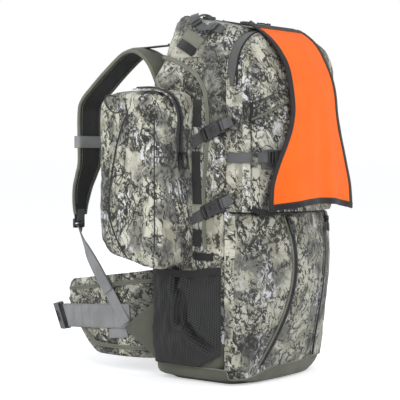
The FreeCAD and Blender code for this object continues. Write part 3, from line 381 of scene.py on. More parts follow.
MATERIALS = {}


def make_materials(context):
    c = context.scene.pack_colours
    group = camo_group(c)
    cuts = {
        "side": ((0.13, 0.31, 0.02), (0.2, 0.1, 0.4), 0.06), "lid": ((0.47, 0.05, 0.36), (0.5, 0.2, 1.1), 0.04),
        "upper": ((0.9, 0.37, 0.66), (0.1, 0.5, 0.2), 0.05), "lower": ((0.33, 0.81, 0.17), (0.3, 0.0, 0.7), 0.27),
        "gusset": ((0.05, 0.66, 0.93), (0.9, 0.3, 0.1), 0.0),
        "pouch": ((0.71, 0.31, 0.29), (0.0, 0.35, 0.15), 0.0),
        "wing": ((0.58, 0.44, 0.83), (1.2, 0.1, 0.6), 0.0),
    }
    for name, (shift, turn, shade) in cuts.items():
        MATERIALS["camo_" + name] = camo_cloth("camo_nylon_" + name, shift, turn, group, shade)
    # bright woven polyester, dyed: even colour, hardly any sheen
    MATERIALS["blaze"] = plain_cloth("blaze_polyester", list(c.blaze), 1.6, 0.8, 0.05, 0.02, 0.0003)
    # nylon coated inside, on the boot and straps: smoother, with a slight satin
    MATERIALS["olive"] = plain_cloth("olive_coated_nylon", list(c.olive), 1.8, 0.72, 0.12)
    # plain black nylon: deep, matt, threads just showing
    MATERIALS["black_cloth"] = plain_cloth("black_nylon", list(c.dark), 1.8, 0.8, 0.2)
    MATERIALS["band_cloth"] = plain_cloth("grey_nylon_binding", hex_colour("#5C5D5B"), 1.8, 0.8, 0.15)
    # folded binding over seams: a dark matt line
    MATERIALS["seam"] = plain_cloth("dark_seam_binding", hex_colour("#2E2F2D"), 1.8, 0.85, 0.2)
    # woven grosgrain: fine ribs across the tape
    MATERIALS["tape"] = strap_cloth("olive_grosgrain_tape", list(c.tape), 2.0)
    MATERIALS["binding"] = strap_cloth("black_grosgrain_binding", hex_colour("#171415"), 2.0)
    # heavy woven nylon webbing: coarse ribs, darker edges
    MATERIALS["webbing"] = strap_cloth("grey_nylon_webbing", list(c.webbing), 2.6)
    MATERIALS["dark_webbing"] = strap_cloth("dark_nylon_webbing", hex_colour("#626263"), 2.2)
    # knitted stretch mesh: open holes, drawn coarser than the real 2 mm so that they show, painted near black as the
    # shade inside the pocket seen through them
    MATERIALS["mesh"] = knit_mesh("pocket_stretch_mesh", hex_colour("#020202"), hex_colour("#3A3A3A"), 4.1)
    # spacer knit on the back pads: close holes over foam, drawn coarse so that they show, painted darker as the
    # shade down in them
    MATERIALS["spacer"] = knit_mesh("spacer_mesh", hex_colour("#1C1C1C"), hex_colour("#3E3E3E"), 3.6, flat=True)
    MATERIALS["elastic"] = strap_cloth("black_bound_elastic", hex_colour("#1E1E1E"), 1.8)
    # coil zip on its woven tape: smoother than webbing, so it catches some light
    MATERIALS["zip"] = strap_cloth("zip_coil_tape", hex_colour("#343538"), 1.6, 0.55)
    # moulded acetal: satin, fine grain, duller where scuffed
    MATERIALS["buckle"] = moulded("moulded_acetal", list(c.plastic))
    MATERIALS["pull"] = moulded("moulded_soft_plastic", hex_colour("#2C2C2D"), 0.55)
    # die-cast zinc, lacquered: dark, with a metal's tighter gloss
    MATERIALS["slider"] = moulded("lacquered_zinc", hex_colour("#2A2A2B"), 0.35, metallic=0.6)
    # extruded aluminium, mill finish: pale bare metal
    MATERIALS["stay"] = moulded("mill_finish_aluminium", hex_colour("#B5B6BA"), 0.35, metallic=1.0)
    # bonded polyester thread: dark, a little proud of the cloth
    MATERIALS["thread"] = plain_cloth("polyester_thread", hex_colour("#4B4B45"), 1.5)
    MATERIALS["thread_pale"] = plain_cloth("pale_polyester_thread", hex_colour("#A9A897"), 1.5)


# ---------------------------------------------------------------- meshes
def make_piece(name, points, faces, material, body=BAG, uvs=None, closed=True, marks=None):
    """A mesh piece from points in millimetres, smooth, its faces outwards, riding on its body."""
    mesh = bpy.data.meshes.new(name)
    mesh.from_pydata([Vector(p) * MM for p in points], [], faces)
    materials = material if isinstance(material, (list, tuple)) else [material]
    for m in materials:
        mesh.materials.append(m)
    if uvs:
        layer = mesh.uv_layers.new(name="UVMap")
        for loop in mesh.loops:
            layer.data[loop.index].uv = uvs[loop.vertex_index]
    if marks:
        for face, mark in zip(mesh.polygons, marks):
            face.material_index = mark
    if closed:
        work = bmesh.new()
        work.from_mesh(mesh)
        bmesh.ops.recalc_face_normals(work, faces=work.faces)
        work.to_mesh(mesh)
        work.free()
    mesh.shade_smooth()
    piece = bpy.data.objects.new(name, mesh)
    bpy.context.scene.collection.objects.link(piece)
    if body:
        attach(piece, body)
    return piece


def grid_faces(rows, columns, ring=False, start=0):
    """Quads of a grid of points kept row by row. With ring, each row closes on itself."""
    faces = []
    for r in range(rows - 1):
        for c in range(columns if ring else columns - 1):
            d = (c + 1) % columns
            a, b = start + r * columns, start + (r + 1) * columns
            faces.append((a + c, a + d, b + d, b + c))
    return faces


def smooth_path(points, count):
    """A smooth line of count points through the given ones."""
    pts = [Vector(p) for p in points]
    pts = [pts[0] * 2 - pts[1]] + pts + [pts[-1] * 2 - pts[-2]]
    lengths = [0.0]
    for a, b in zip(pts[1:-2], pts[2:-1]):
        lengths.append(lengths[-1] + (b - a).length)
    out = []
    for i in range(count):
        s = lengths[-1] * i / (count - 1)
        k = max(j for j in range(len(lengths) - 1) if lengths[j] <= s + 1e-9)
        t = (s - lengths[k]) / (lengths[k + 1] - lengths[k])
        p0, p1, p2, p3 = pts[k:k + 4]
        m1, m2 = (p2 - p0) / 2, (p3 - p1) / 2
        t2, t3 = t * t, t * t * t
        out.append(p1 * (2 * t3 - 3 * t2 + 1) + m1 * (t3 - 2 * t2 + t) + p2 * (3 * t2 - 2 * t3) + m2 * (t3 - t2))
    return out


def strip_profile(width, thick, round_share=0.5):
    """Outline of flat webbing with rounded edges, its inner face on the path."""
    w, e = width / 2, thick * round_share
    return [(-w, thick * 0.5), (-w + e * 0.4, 0.0), (-w + e, 0.0), (0.0, 0.0), (w - e, 0.0), (w - e * 0.4, 0.0),
            (w, thick * 0.5), (w - e * 0.4, thick), (w - e, thick), (0.0, thick), (-w + e, thick),
            (-w + e * 0.4, thick)]


def round_profile(radius, sides=8):
    return [(radius * math.cos(2 * math.pi * i / sides), radius * math.sin(2 * math.pi * i / sides))
            for i in range(sides)]


def sweep(name, path, ups, profile, material, body=BAG, loop=False, scales=None):
    """A profile of (across, up) offsets carried along a path with an up direction at each point."""
    count, size = len(path), len(profile)
    points, uvs = [], []
    run = 0.0
    low = min(a for a, _ in profile)
    span = max(a for a, _ in profile) - low or 1.0
    for i, p in enumerate(path):
        ahead = path[(i + 1) % count] if loop or i + 1 < count else p
        behind = path[i - 1] if loop or i > 0 else p
        tangent = (ahead - behind).normalized()
        each = isinstance(ups, (list, tuple)) and not isinstance(ups[0], (int, float))
        up = Vector(ups[i]) if each else Vector(ups)
        up = (up - tangent * up.dot(tangent)).normalized()
        across = tangent.cross(up)
        if i:
            run += (p - path[i - 1]).length
        grow = scales[i] if scales else 1.0
        for a, b in profile:
            points.append(p + across * a * grow + up * b)
            uvs.append(((a - low) / span, run * MM))
    faces = grid_faces(count, size, ring=True)
    if loop:
        faces += [((count - 1) * size + c, (count - 1) * size + (c + 1) % size, (c + 1) % size, c)
                  for c in range(size)]
    else:
        faces += [tuple(range(size))[::-1], tuple(range((count - 1) * size, count * size))]
    return make_piece(name, points, faces, material, body, uvs)


def crumple(p, size, depth, stretch=(1, 1, 1), seed=0.0):
    """Height of creases at a point: soft ridges about size millimetres apart."""
    q = Vector((p.x * stretch[0], p.y * stretch[1],
                p.z * stretch[2])) / size + Vector((seed, seed * 1.7, seed * 0.6))
    broad = noise.noise(q)
    ridge = 1.0 - abs(noise.noise(q * 1.9 + Vector((7.3, 2.1, 4.4)))) * 2.0
    return depth * (0.7 * broad + 0.5 * ridge * abs(ridge))


def soften(piece, levels=1):
    mod = piece.modifiers.new("Subdivision", "SUBSURF")
    mod.levels = mod.render_levels = levels
    return piece


def thicken(piece, thick):
    mod = piece.modifiers.new("Solidify", "SOLIDIFY")
    mod.thickness = thick * MM
    mod.offset = -1.0
    return piece


def dress(node, material):
    """Gives a CAD node that stays its finish."""
    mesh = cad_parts[node].data
    mesh.materials.clear()
    mesh.materials.append(material)


SEAMS = {}      # lines to be stitched, by body and thread
TEETH = {}      # zip lines, by body


def seam_stitches(path, thread="thread", body=BAG):
    """Books a line of stitches along a path in millimetres."""
    SEAMS.setdefault((body, thread), []).append([Vector(p) for p in path])


def zip_teeth(path, body=BAG):
    """Books a row of zip teeth along a path in millimetres."""
    TEETH.setdefault(body, []).append([Vector(p) for p in path])


def repeat_tree():
    """Geometry nodes that set one small shape at even steps along lines, turned to follow them."""
    tree = bpy.data.node_groups.new("repeat_along", "GeometryNodeTree")
    for name, kind in (("Geometry", "NodeSocketGeometry"), ("Pitch", "NodeSocketFloat"),
                       ("Size", "NodeSocketVector"),
                       ("Material", "NodeSocketMaterial")):
        tree.interface.new_socket(name, in_out="INPUT", socket_type=kind)
    tree.interface.new_socket("Geometry", in_out="OUTPUT", socket_type="NodeSocketGeometry")
    given = add_node(tree, "NodeGroupInput").outputs
    curve = add_node(tree, "GeometryNodeMeshToCurve", links={"Mesh": given["Geometry"]}).outputs["Curve"]
    steps = add_node(tree, "GeometryNodeCurveToPoints", links={"Curve": curve, "Length": given["Pitch"]},
                     mode="LENGTH").outputs
    shape = add_node(tree, "GeometryNodeMeshCube", {"Vertices X": 2, "Vertices Y": 2, "Vertices Z": 2},
                     {"Size": given["Size"]})
    placed = add_node(tree, "GeometryNodeInstanceOnPoints",
                      links={"Points": steps["Points"], "Instance": shape.outputs["Mesh"],
                             "Rotation": steps["Rotation"]})
    real = add_node(tree, "GeometryNodeRealizeInstances", links={"Geometry": placed.outputs["Instances"]})
    done = add_node(tree, "GeometryNodeSetMaterial",
                    links={"Geometry": real.outputs["Geometry"], "Material": given["Material"]})
    out = add_node(tree, "NodeGroupOutput")
    tree.links.new(done.outputs["Geometry"], out.inputs[0])
    return tree


def repeated(name, lines, tree, pitch, size, material, body):
    """A plain mesh of the shapes that the nodes set along lines of points in millimetres."""
    points, edges = [], []
    for line in lines:
        start = len(points)
        points += [p * MM for p in line]
        edges += [(start + i, start + i + 1) for i in range(len(line) - 1)]
    source = bpy.data.meshes.new(name + "_lines")
    source.from_pydata(points, edges, [])
    carrier = bpy.data.objects.new(name + "_lines", source)
    bpy.context.scene.collection.objects.link(carrier)
    mod = carrier.modifiers.new("Repeat", "NODES")
    mod.node_group = tree
    for item in tree.interface.items_tree:
        if item.in_out == "INPUT" and item.name != "Geometry":
            mod[item.identifier] = {"Pitch": pitch * MM, "Size": [v * MM for v in size],
                                    "Material": material}[item.name]
    graph = bpy.context.evaluated_depsgraph_get()
    mesh = bpy.data.meshes.new_from_object(carrier.evaluated_get(graph))
    bpy.data.objects.remove(carrier)
    mesh.name = name
    mesh.materials.clear()
    mesh.materials.append(material)
    piece = bpy.data.objects.new(name, mesh)
    bpy.context.scene.collection.objects.link(piece)
    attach(piece, body)
    return piece


def repeats_operator(context):
    tree = repeat_tree()
    pitch = context.scene.pack_sizes.stitch_pitch / MM
    for (body, thread), lines in SEAMS.items():
        repeated("stitches_%s_%s" % (thread, body), lines, tree, pitch, (0.8, 0.7, pitch * 0.66),
                 MATERIALS[thread], body)
    for body, lines in TEETH.items():
        repeated("zip_teeth_" + body, lines, tree, 2.4, (3.4, 1.5, 1.3), MATERIALS["slider"], body)


# ---------------------------------------------------------------- forms of the bag and its pockets
def share(value, low, high):
    """Where a value lies between two limits, from 0 to 1, eased at both ends."""
    t = min(1.0, max(0.0, (value - low) / (high - low)))
    return t * t * (3 - 2 * t)


def bag_half_at(z):
    return BAG_HALF + (CROWN_HALF - BAG_HALF) * max(0.0, (z - SHOULDER_Z) / (LID_Z - SHOULDER_Z))


def bag_rear_at(z):
    return BAG_REAR - CROWN_LEAN * max(0.0, (z - SHOULDER_Z) / (LID_Z - SHOULDER_Z))


def lid_z(y):
    return LID_Z - LID_FALL * (BAG_REAR - y) / (BAG_REAR - BAG_FRONT)


def side_plan(z, seam=SEAM_HALF):
    """Points and outward directions of the bag's left side at height z, from the front seam to the rear one."""
    w, rear = bag_half_at(z), bag_rear_at(z)
    out = []
    cx, cy = -(w - FRONT_ROUND), BAG_FRONT + FRONT_ROUND
    for i in range(4):
        out.append((Vector((-seam + (cx + seam) * i / 4, BAG_FRONT, z)), Vector((0, -1, 0))))
    for i in range(9):
        a = math.radians(270 - 90 * i / 8)
        d = Vector((math.cos(a), math.sin(a), 0))
        out.append((Vector((cx, cy, z)) + d * FRONT_ROUND, d))
    end = rear - REAR_ROUND
    for i in range(1, 32):
        out.append((Vector((-w, cy + (end - cy) * i / 32, z)), Vector((-1, 0, 0))))
    cx, cy = -(w - REAR_ROUND), end
    for i in range(11):
        a = math.radians(180 - 90 * i / 10)
        d = Vector((math.cos(a), math.sin(a), 0))
        out.append((Vector((cx, cy, z)) + d * REAR_ROUND, d))
    for i in range(1, 5):
        out.append((Vector((cx + (-seam - cx) * i / 4, rear, z)), Vector((0, 1, 0))))
    return out


def side_lift(p, sizes):
    """How far the side's cloth stands out at a point: it bulges between seams and is drawn in by the straps."""
    v = share(p.z, BAG_FOOT, BAG_FOOT + 60) * (1 - share(p.z, LID_SEAM - 45, LID_SEAM))
    lift = sizes.cloth_puff / MM * v
    lift += crumple(p, 55, sizes.cloth_crease / MM, (1, 1, 0.7)) * (0.4 + 0.6 * v)
    for level in (478.0, 332.0):
        line_z = level - (p.y + 53.0) * math.tan(math.radians(24))
        near = math.exp(-((p.z - line_z) / 16.0) ** 2) * (1 - share(p.y, -20, 40))
        lift -= 4.0 * near
    return lift


def raised(points, rows, columns, lift, ring=False, toward=None):
    """Grid points moved along their surface's normal by lift(point, row, column), away from the inside."""
    def at(r, c):
        return points[min(max(r, 0), rows - 1) * columns + (c % columns if ring else min(max(c, 0), columns - 1))]
    middle = toward or sum(points, Vector()) / len(points)
    out = []
    for r in range(rows):
        for c in range(columns):
            p = at(r, c)
            n = (at(r + 1, c) - at(r - 1, c)).cross(at(r, c + 1) - at(r, c - 1))
            if n.length < 1e-9:
                n = p - middle
            n.normalize()
            if n.dot(p - middle) < 0:
                n = -n
            out.append(p + n * lift(p, r, c))
    return out


def grid_uvs(points, rows, columns):
    """UVs in metres along the rows and columns, so that a weave keeps its real size."""
    uvs = []
    for r in range(rows):
        run = 0.0
        for c in range(columns):
            i = r * columns + c
            if c:
                run += (points[i] - points[i - 1]).length
            uvs.append((run * MM, points[i].z * MM))
    return uvs


def flipped(points):
    return [Vector((-p.x, p.y, p.z)) for p in points]


def side_spot(y, z, lift=0.0):
    """A point on the dressed left side at depth y and height z, raised by lift, and the way out there."""
    base = Vector((-bag_half_at(z), y, z))
    lean = math.atan((BAG_HALF - CROWN_HALF) / (LID_Z - SHOULDER_Z)) if z > SHOULDER_Z else 0.0
    out = Vector((-math.cos(lean), 0, math.sin(lean)))
    return base + out * (side_lift(base, bpy.context.scene.pack_sizes) + lift), out


def upper_sizes(z):
    start = UPPER_TOP - UPPER_RISE
    lift = min(1.0, max(0.0, (z - start) / UPPER_RISE))
    c = math.sqrt(1.0 - lift * lift)
    lean = max(0.0, (z - UPPER_LEAN_Z) / (UPPER_TOP - UPPER_LEAN_Z))
    return (UPPER_TOP_HALF + (UPPER_HALF - UPPER_TOP_HALF) * c, BAG_FRONT - UPPER_GUSSET * (0.7 + 0.3 * c),
            BAG_FRONT - UPPER_BELLY + UPPER_LEAN * lean ** 2.2)


def lower_sizes(z):
    t = (z - BOOT_TOP) / (LOWER_PEAK - BOOT_TOP)
    swell = math.sin(math.pi / 2 * max(0.0, t))
    return (BAG_HALF, BAG_FRONT - LOWER_GUSSET * (0.75 + 0.25 * min(1.0, swell * 1.5)),
            BAG_FRONT - LOWER_FOOT - (LOWER_BELLY - LOWER_FOOT) * swell)


def face_y(sizes, x):
    """Depth of a front pocket's face at distance x from the middle: one arc from edge to edge."""
    half, gusset, belly = sizes
    rise = gusset - belly
    if rise < 1.0:
        return belly
    reach = (half * half + rise * rise) / (2 * rise)
    return belly + reach - math.sqrt(max(0.0, reach * reach - x * x))


def pocket_face(sizes_at, x, z, lift=0.0):
    """A point on a front pocket's face and the way out there."""
    def spot(a, b):
        return Vector((a, face_y(sizes_at(b), a), b))
    p = spot(x, z)
    n = (spot(x + 1, z) - spot(x - 1, z)).cross(spot(x, z + 1) - spot(x, z - 1)).normalized()
    if n.y > 0:
        n = -n
    return p + n * lift, n


def pocket_grid(sizes_at, levels, top, edge_round, back=BAG_FRONT):
    """Rows of points round a front pocket, side strip, rounded edge and face, and a lid strip on top."""
    rows = []
    for z in levels:
        half, gusset, belly = sizes_at(z)
        row = []
        near_top = max(0.0, edge_round - (top - z))
        drop = edge_round - math.sqrt(max(0.0, edge_round ** 2 - near_top ** 2))
        side_y = gusset + edge_round
        for i in range(7):
            row.append(Vector((-half, back + (side_y - back) * i / 6, z)))
        for i in range(1, 6):
            a = math.radians(90 * i / 6)
            x = -half + edge_round * (1 - math.cos(a))
            y = face_y((half, gusset, belly), x) + edge_round * (1 - math.sin(a))
            row.append(Vector((x, y, z)))
        wide = half - edge_round
        for i in range(0, 25):
            x = -wide + wide * i / 24
            row.append(Vector((x, face_y((half, gusset, belly), x), z)))
        for p in row:
            p.y = min(back, p.y + drop * share(back - p.y, 0, 30))
        rows.append(row + [Vector((-p.x, p.y, p.z)) for p in row[-2::-1]])
    last = rows[-1]
    for k in (0.3, 0.65, 1.0):
        rows.append([Vector((p.x * (1 - 0.06 * k), p.y + (back - p.y) * k, p.z + 1.5 * k)) for p in last])
    return rows


def flatten(rows):
    return [p for row in rows for p in row]


# ---------------------------------------------------------------- the bag, its lid and its boot
def bag_operator(context):
    sizes = context.scene.pack_sizes
    levels = [BAG_FOOT + (LID_SEAM - BAG_FOOT) * i / 72 for i in range(73)]
    levels[1] = 43.0
    columns = len(side_plan(100.0))
    base = [(p, d) for z in levels for p, d in side_plan(z)]
    for side, seed in (("left", 0.0), ("right", 11.0)):
        points = []
        for p, d in base:
            lift = side_lift(p, sizes) if side == "left" else side_lift(p, sizes) + crumple(p, 70, 0.6, seed=seed)
            fade = share(abs(p.x), SEAM_HALF, SEAM_HALF + 12)
            points.append(p + d * lift * (0.25 + 0.75 * fade))
        if side == "right":
            points = flipped(points)
        faces = grid_faces(len(levels), columns)
        # the plain cloth of the boot runs up the foot of the side, higher towards the front
        marks = [1 if points[f[0]].z < 41 + 34 * share(-points[f[0]].y, 0, 70) else 0 for f in faces]
        if side == "left":
            faces = [f[::-1] for f in faces]
        piece = make_piece("side_cloth_" + side, points, faces, [MATERIALS["camo_side"], MATERIALS["olive"]],
                           uvs=grid_uvs(points, len(levels), columns), closed=False,
                           marks=marks)
        thicken(piece, 2.4)
        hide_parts("side_panel_" + side)
    # front panel behind the pockets, and the stiff sheet behind the back pads
    for name, node, y, material, puff in (("front_cloth", "front_panel", BAG_FRONT, "camo_side", -1),
                                          ("back_cloth", "frame_sheet", BAG_REAR, "black_cloth", 1)):
        rows = [BAG_FOOT + (LID_SEAM - BAG_FOOT) * i / 60 for i in range(61)]
        points = []
        for z in rows:
            for i in range(31):
                x = -SEAM_HALF + 2 * SEAM_HALF * i / 30
                y0 = y if puff < 0 else bag_rear_at(z)
                p = Vector((x, y0, z))
                edge = share(SEAM_HALF - abs(x), 0, 15) * share(z, BAG_FOOT, BAG_FOOT + 20)
                p.y += puff * (crumple(p, 60, 1.6) + (2.0 if puff < 0 else 0.0)) * edge
                points.append(p)
        faces = grid_faces(61, 31)
        if puff > 0:
            faces = [f[::-1] for f in faces]
        piece = make_piece(name, points, faces, MATERIALS[material],
                           uvs=grid_uvs(points, 61, 31), closed=False)
        thicken(piece, 2.4)
        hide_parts(node)
    lid_cloth()
    boot_cloth(sizes)


def outline_at(z_of):
    """The bag's whole plan as a closed ring, each point at the height that z_of gives for it."""
    left = [p for p, _ in side_plan(LID_SEAM)]
    ring = left + [Vector((-p.x, p.y, p.z)) for p in left[::-1]]
    ring = ring[:-1] if (ring[0] - ring[-1]).length < 1e-6 else ring
    out = []
    for p in ring:
        z = z_of(p)
        w0, w1 = bag_half_at(LID_SEAM), bag_half_at(z)
        x = p.x * (w1 / w0 if abs(p.x) > SEAM_HALF * 0.6 else 1 + (w1 / w0 - 1) * abs(p.x) / (SEAM_HALF * 0.6))
        y = p.y + (bag_rear_at(z) - bag_rear_at(LID_SEAM)) * share(p.y, -20, 80)
        out.append(Vector((x, y, z)))
    return out


def lid_cloth():
    """Lid: up from its seam, over a soft rounded edge, and across the top."""
    rows = []
    soft = 15.0
    for i in range(9):
        t = i / 8
        rows.append(outline_at(lambda p: LID_SEAM + (lid_z(p.y) - soft - LID_SEAM) * t))
    edge = outline_at(lambda p: lid_z(p.y) - soft * 0.5)
    for i in range(1, 7):
        a = math.radians(90 * i / 6)
        row = []
        for p in edge:
            inward = Vector((-p.x, 8.0 - p.y, 0)).normalized()
            q = p + inward * soft * (1 - math.cos(a))
            q.z = lid_z(p.y) - soft * (1 - math.sin(a))
            row.append(q)
        rows.append(row)
    last = rows[-1]
    for k in (0.9, 0.78, 0.64, 0.5, 0.36, 0.22, 0.1, 0.0):
        row = []
        for p in last:
            q = Vector((p.x * k, 8.0 + (p.y - 8.0) * k, 0))
            q.z = lid_z(q.y)
            row.append(q)
        rows.append(row)
    columns = len(rows[0])
    points = flatten(rows)

    def lift(p, r, c):
        top = share(r, 10, 14)
        hold = share(r, 0, 3)
        return (crumple(p, 46, 3.6, (1, 1, 1), 3.0) * 0.9 + 1.0) * hold - 1.2 * top
    points = raised(points, len(rows), columns, lift, ring=True, toward=Vector((0, 8, 600)))
    piece = make_piece("lid_cloth", points, grid_faces(len(rows), columns, ring=True), MATERIALS["camo_lid"],
                       closed=True)
    work = bmesh.new()
    work.from_mesh(piece.data)
    bmesh.ops.remove_doubles(work, verts=work.verts, dist=0.00005)
    bmesh.ops.recalc_face_normals(work, faces=work.faces)
    work.to_mesh(piece.data)
    work.free()
    thicken(piece, 2.0)
    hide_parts("lid_panel")


def boot_plan(z, inset):
    """The boot's whole plan at height z, drawn in by inset at its foot."""
    half, gusset, belly = lower_sizes(BOOT_TOP)
    w, rear = half - inset, BAG_REAR - inset
    ring = []
    for i in range(49):
        a = -1 + 2 * i / 48
        x = w * math.sin(a * math.pi / 2)
        y = face_y((half, gusset, belly), x) + inset
        corner = max(0.0, abs(x) - (w - 34.0)) / 34.0
        y += 19.0 * (1 - math.sqrt(max(0.0, 1 - corner ** 2)))
        ring.append(Vector((x, y, z)))
    front = ring[-1].y
    for i in range(1, 17):
        ring.append(Vector((w, front + (rear - REAR_ROUND - front) * i / 16, z)))
    for i in range(1, 9):
        a = math.radians(90 * i / 8)
        ring.append(Vector((w - REAR_ROUND + REAR_ROUND * math.cos(a),
                            rear - REAR_ROUND + REAR_ROUND * math.sin(a), z)))
    for i in range(1, 16):
        x = (w - REAR_ROUND) * (1 - 2 * i / 16)
        ring.append(Vector((x, rear, z)))
    for i in range(8, 0, -1):
        a = math.radians(90 * i / 8)
        ring.append(Vector((-w + REAR_ROUND - REAR_ROUND * math.cos(a),
                            rear - REAR_ROUND + REAR_ROUND * math.sin(a), z)))
    for i in range(16, 0, -1):
        ring.append(Vector((-w, front + (rear - REAR_ROUND - front) * i / 16, z)))
    return ring


def boot_edge(p):
    """Height of the boot's seam: high in the middle of the front, low at its corners."""
    if p.y > -86:
        return BOOT_TOP
    return BOOT_TOP - (17.0 * share(-p.x, 42, 132) - 2.0 * share(p.x, 60, 130)) * share(-p.y, 86, 92)


def boot_cloth(sizes):
    """Boot of plain coated cloth: a rounded foot, a curved top seam, and the camo that dips to that seam."""
    rows = []
    steps = [(0.0, 21.0), (0.03, 14.0), (0.1, 8.0), (0.25, 3.6), (0.5, 1.0), (0.75, 0.1), (1.0, 0.0)]
    for t, inset in steps:
        ring = boot_plan(0, inset)
        for p in ring:
            corner = share(abs(p.x), 78, 140) * share(-p.y, 45, 95)
            flank = share(abs(p.x), 100, 138) * 5.0
            lift = (max(flank, (19.0 if p.x > 0 else 11.0) * corner) + 1.0) * (1 - t) if t > 0 else \
                max(flank, (18.0 if p.x > 0 else 10.0) * corner)
            p.z = boot_edge(p) * t + lift
        rows.append(ring)
    columns = len(rows[0])
    split = len(rows)
    for t in (0.35, 0.7, 1.0):
        ring = boot_plan(0, 0.0)
        for p in ring:
            low = boot_edge(p)
            p.z = low + (BAG_FOOT + 0.4 - low) * t
        rows.append(ring)
    floor = [[Vector((p.x * k, 5 + (p.y - 5) * k, 0.0)) for p in rows[0]] for k in (0.0, 0.35, 0.7, 0.96)]
    for p in floor[-1]:
        p.z = 0.0
    rows = floor + rows
    split += 4
    points = flatten(rows)

    def lift(p, r, c):
        return crumple(p, 40, 1.2, (1, 1, 1.5), 5.0) * share(r, 5, 7) * (1 - share(r, split, split + 3))
    points = raised(points, len(rows), columns, lift, ring=True, toward=Vector((0, 0, 20)))
    for p in points:
        p.z = max(0.0, p.z)
    faces = grid_faces(len(rows), columns, ring=True)
    marks = [1 if i // columns >= split - 1 else 0 for i in range(len(faces))]
    piece = make_piece("boot_cloth", points, faces, [MATERIALS["olive"], MATERIALS["camo_lower"]],
                       marks=marks)
    work = bmesh.new()
    work.from_mesh(piece.data)
    bmesh.ops.remove_doubles(work, verts=work.verts, dist=0.00005)
    bmesh.ops.recalc_face_normals(work, faces=work.faces)
    work.to_mesh(piece.data)
    work.free()
    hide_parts("base_boot")
    seam = [p + Vector((0, 0, 0.2)) for p in rows[split - 1]]
    ups = [Vector((p.x, p.y - 5, 0)).normalized() for p in seam]
    sweep("boot_piping", seam, ups, round_profile(sizes.piping / MM, 8), MATERIALS["tape"],
          loop=True)


# ---------------------------------------------------------------- front pockets
def pocket_lift(p, seed, sizes, depth=1.0):
    return crumple(p, 62, sizes.cloth_crease / MM * depth, (1.0, 1.0, 0.8), seed)


def pockets_operator(context):
    sizes = context.scene.pack_sizes
    # upper pocket
    levels = [UPPER_BOTTOM + (588 - UPPER_BOTTOM) * i / 34 for i in range(35)]
    levels += [588 + UPPER_RISE * math.sin(math.radians(a)) for a in (8, 16, 24, 32, 40, 48, 56, 64, 71, 78, 84,
                                                                      90)]
    rows = pocket_grid(upper_sizes, levels, UPPER_TOP, 9.0)
    count, columns = len(rows), len(rows[0])

    def lift_upper(p, r, c):
        hold = share(BAG_FRONT - p.y, 1, 16)
        fade = 1 - share(r, count - 5, count - 2)
        lift = pocket_lift(p, 2.0, sizes) * hold * fade
        strap = math.exp(-((p.z - 430) / 17.0) ** 2) * share(-p.x, 40, 70)
        full = 8.0 * share(p.x, 50, 90) * share(p.z, 545, 595) * (1 - share(p.z, 635, 668)) * hold
        return lift + full - 3.5 * strap
    points = raised(flatten(rows), count, columns, lift_upper, toward=Vector((0, -60, 480)))
    uvs = grid_uvs(points, count, columns)
    faces = grid_faces(count, columns)
    wide = columns - 1
    marks = [2 if (i % wide < 7 or i % wide >= wide - 7) else 0 for i in range(len(faces))]
    piece = make_piece("upper_pocket_cloth", points, faces,
                       [MATERIALS["camo_upper"], MATERIALS["olive"], MATERIALS["camo_gusset"]],
                       uvs=uvs, marks=marks, closed=False)
    face_out(piece, Vector((0, -60, 480)))
    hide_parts("upper_pocket")
    # lower pocket
    levels = [BAG_FOOT + (LOWER_TOP - BAG_FOOT) * i / 44 for i in range(45)]
    rows = pocket_grid(lower_sizes, levels, LOWER_TOP, 11.0)
    count, columns = len(rows), len(rows[0])

    def lift_lower(p, r, c):
        hold = share(BAG_FRONT - p.y, 1, 14) * share(r, 0, 5)
        fade = 1 - share(r, count - 5, count - 2)
        tuck = math.exp(-((abs(p.x) - 150) / 14.0) ** 2) * share(p.z, 225, 260) * 6.0
        seam = math.exp(-((p.z - 72) / 3.0) ** 2) * 1.6 * (1 - share(abs(p.x), 66, 74))
        zip_x = curved_zip_x(p.z)
        groove = math.exp(-((abs(p.x) - zip_x) / 9.0) ** 2) * 1.8
        return (pocket_lift(p, 6.0, sizes, 0.9) + 1.2) * hold * fade - (tuck + seam + groove) * hold
    points = raised(flatten(rows), count, columns, lift_lower, toward=Vector((0, -60, 180)))
    uvs = grid_uvs(points, count, columns)
    faces = grid_faces(count, columns)
    marks = [1 if (i % wide < 7 or i % wide >= wide - 7) else 0 for i in range(len(faces))]
    piece = make_piece("lower_pocket_cloth", points, faces, [MATERIALS["camo_lower"], MATERIALS["camo_gusset"]],
                       uvs=uvs, marks=marks, closed=False)
    face_out(piece, Vector((0, -60, 180)))
    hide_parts("lower_pocket")
    # dark band round the arch of the upper pocket
    for_band = [Vector((-UPPER_HALF, 0, 564.0)), Vector((-UPPER_HALF, 0, 588.0))]
    for a in range(10, 91, 10):
        z = 588 + UPPER_RISE * math.sin(math.radians(a))
        for_band.append(Vector((-upper_sizes(z)[0], 0, z)))
    path = for_band + [Vector((x, 0, UPPER_TOP)) for x in (-30, 0,
                                                           30)] + [Vector((-p.x, 0, p.z)) for p in for_band[::-1]]
    path = smooth_path(path, 90)
    ups = []
    for i, p in enumerate(path):
        t = path[min(i + 1, 89)] - path[max(i - 1, 0)]
        ups.append(Vector((-t.z, 0, t.x)).normalized())
    path = [p + Vector((0, -97.0, 0)) + u * 1.2 for p, u in zip(path, ups)]
    taper = [0.35 + 0.65 * share(min(i, 89 - i), 0, 9) for i in range(90)]
    piece = sweep("arch_band", path, ups, strip_profile(22.0, 1.8), MATERIALS["band_cloth"],
                  scales=taper)
    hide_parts("upper_pocket_band")
    edge = [p + Vector((0, -11.5, 0)) + u * 1.0 for p, u in zip(path, ups)]
    sweep("arch_piping", edge, ups, round_profile(1.8, 8), MATERIALS["binding"])
    seam_stitches([p + Vector((0, 9.0, 0)) + u * 2.2 for p, u in zip(path, ups)], "thread")
    pocket_details(context)


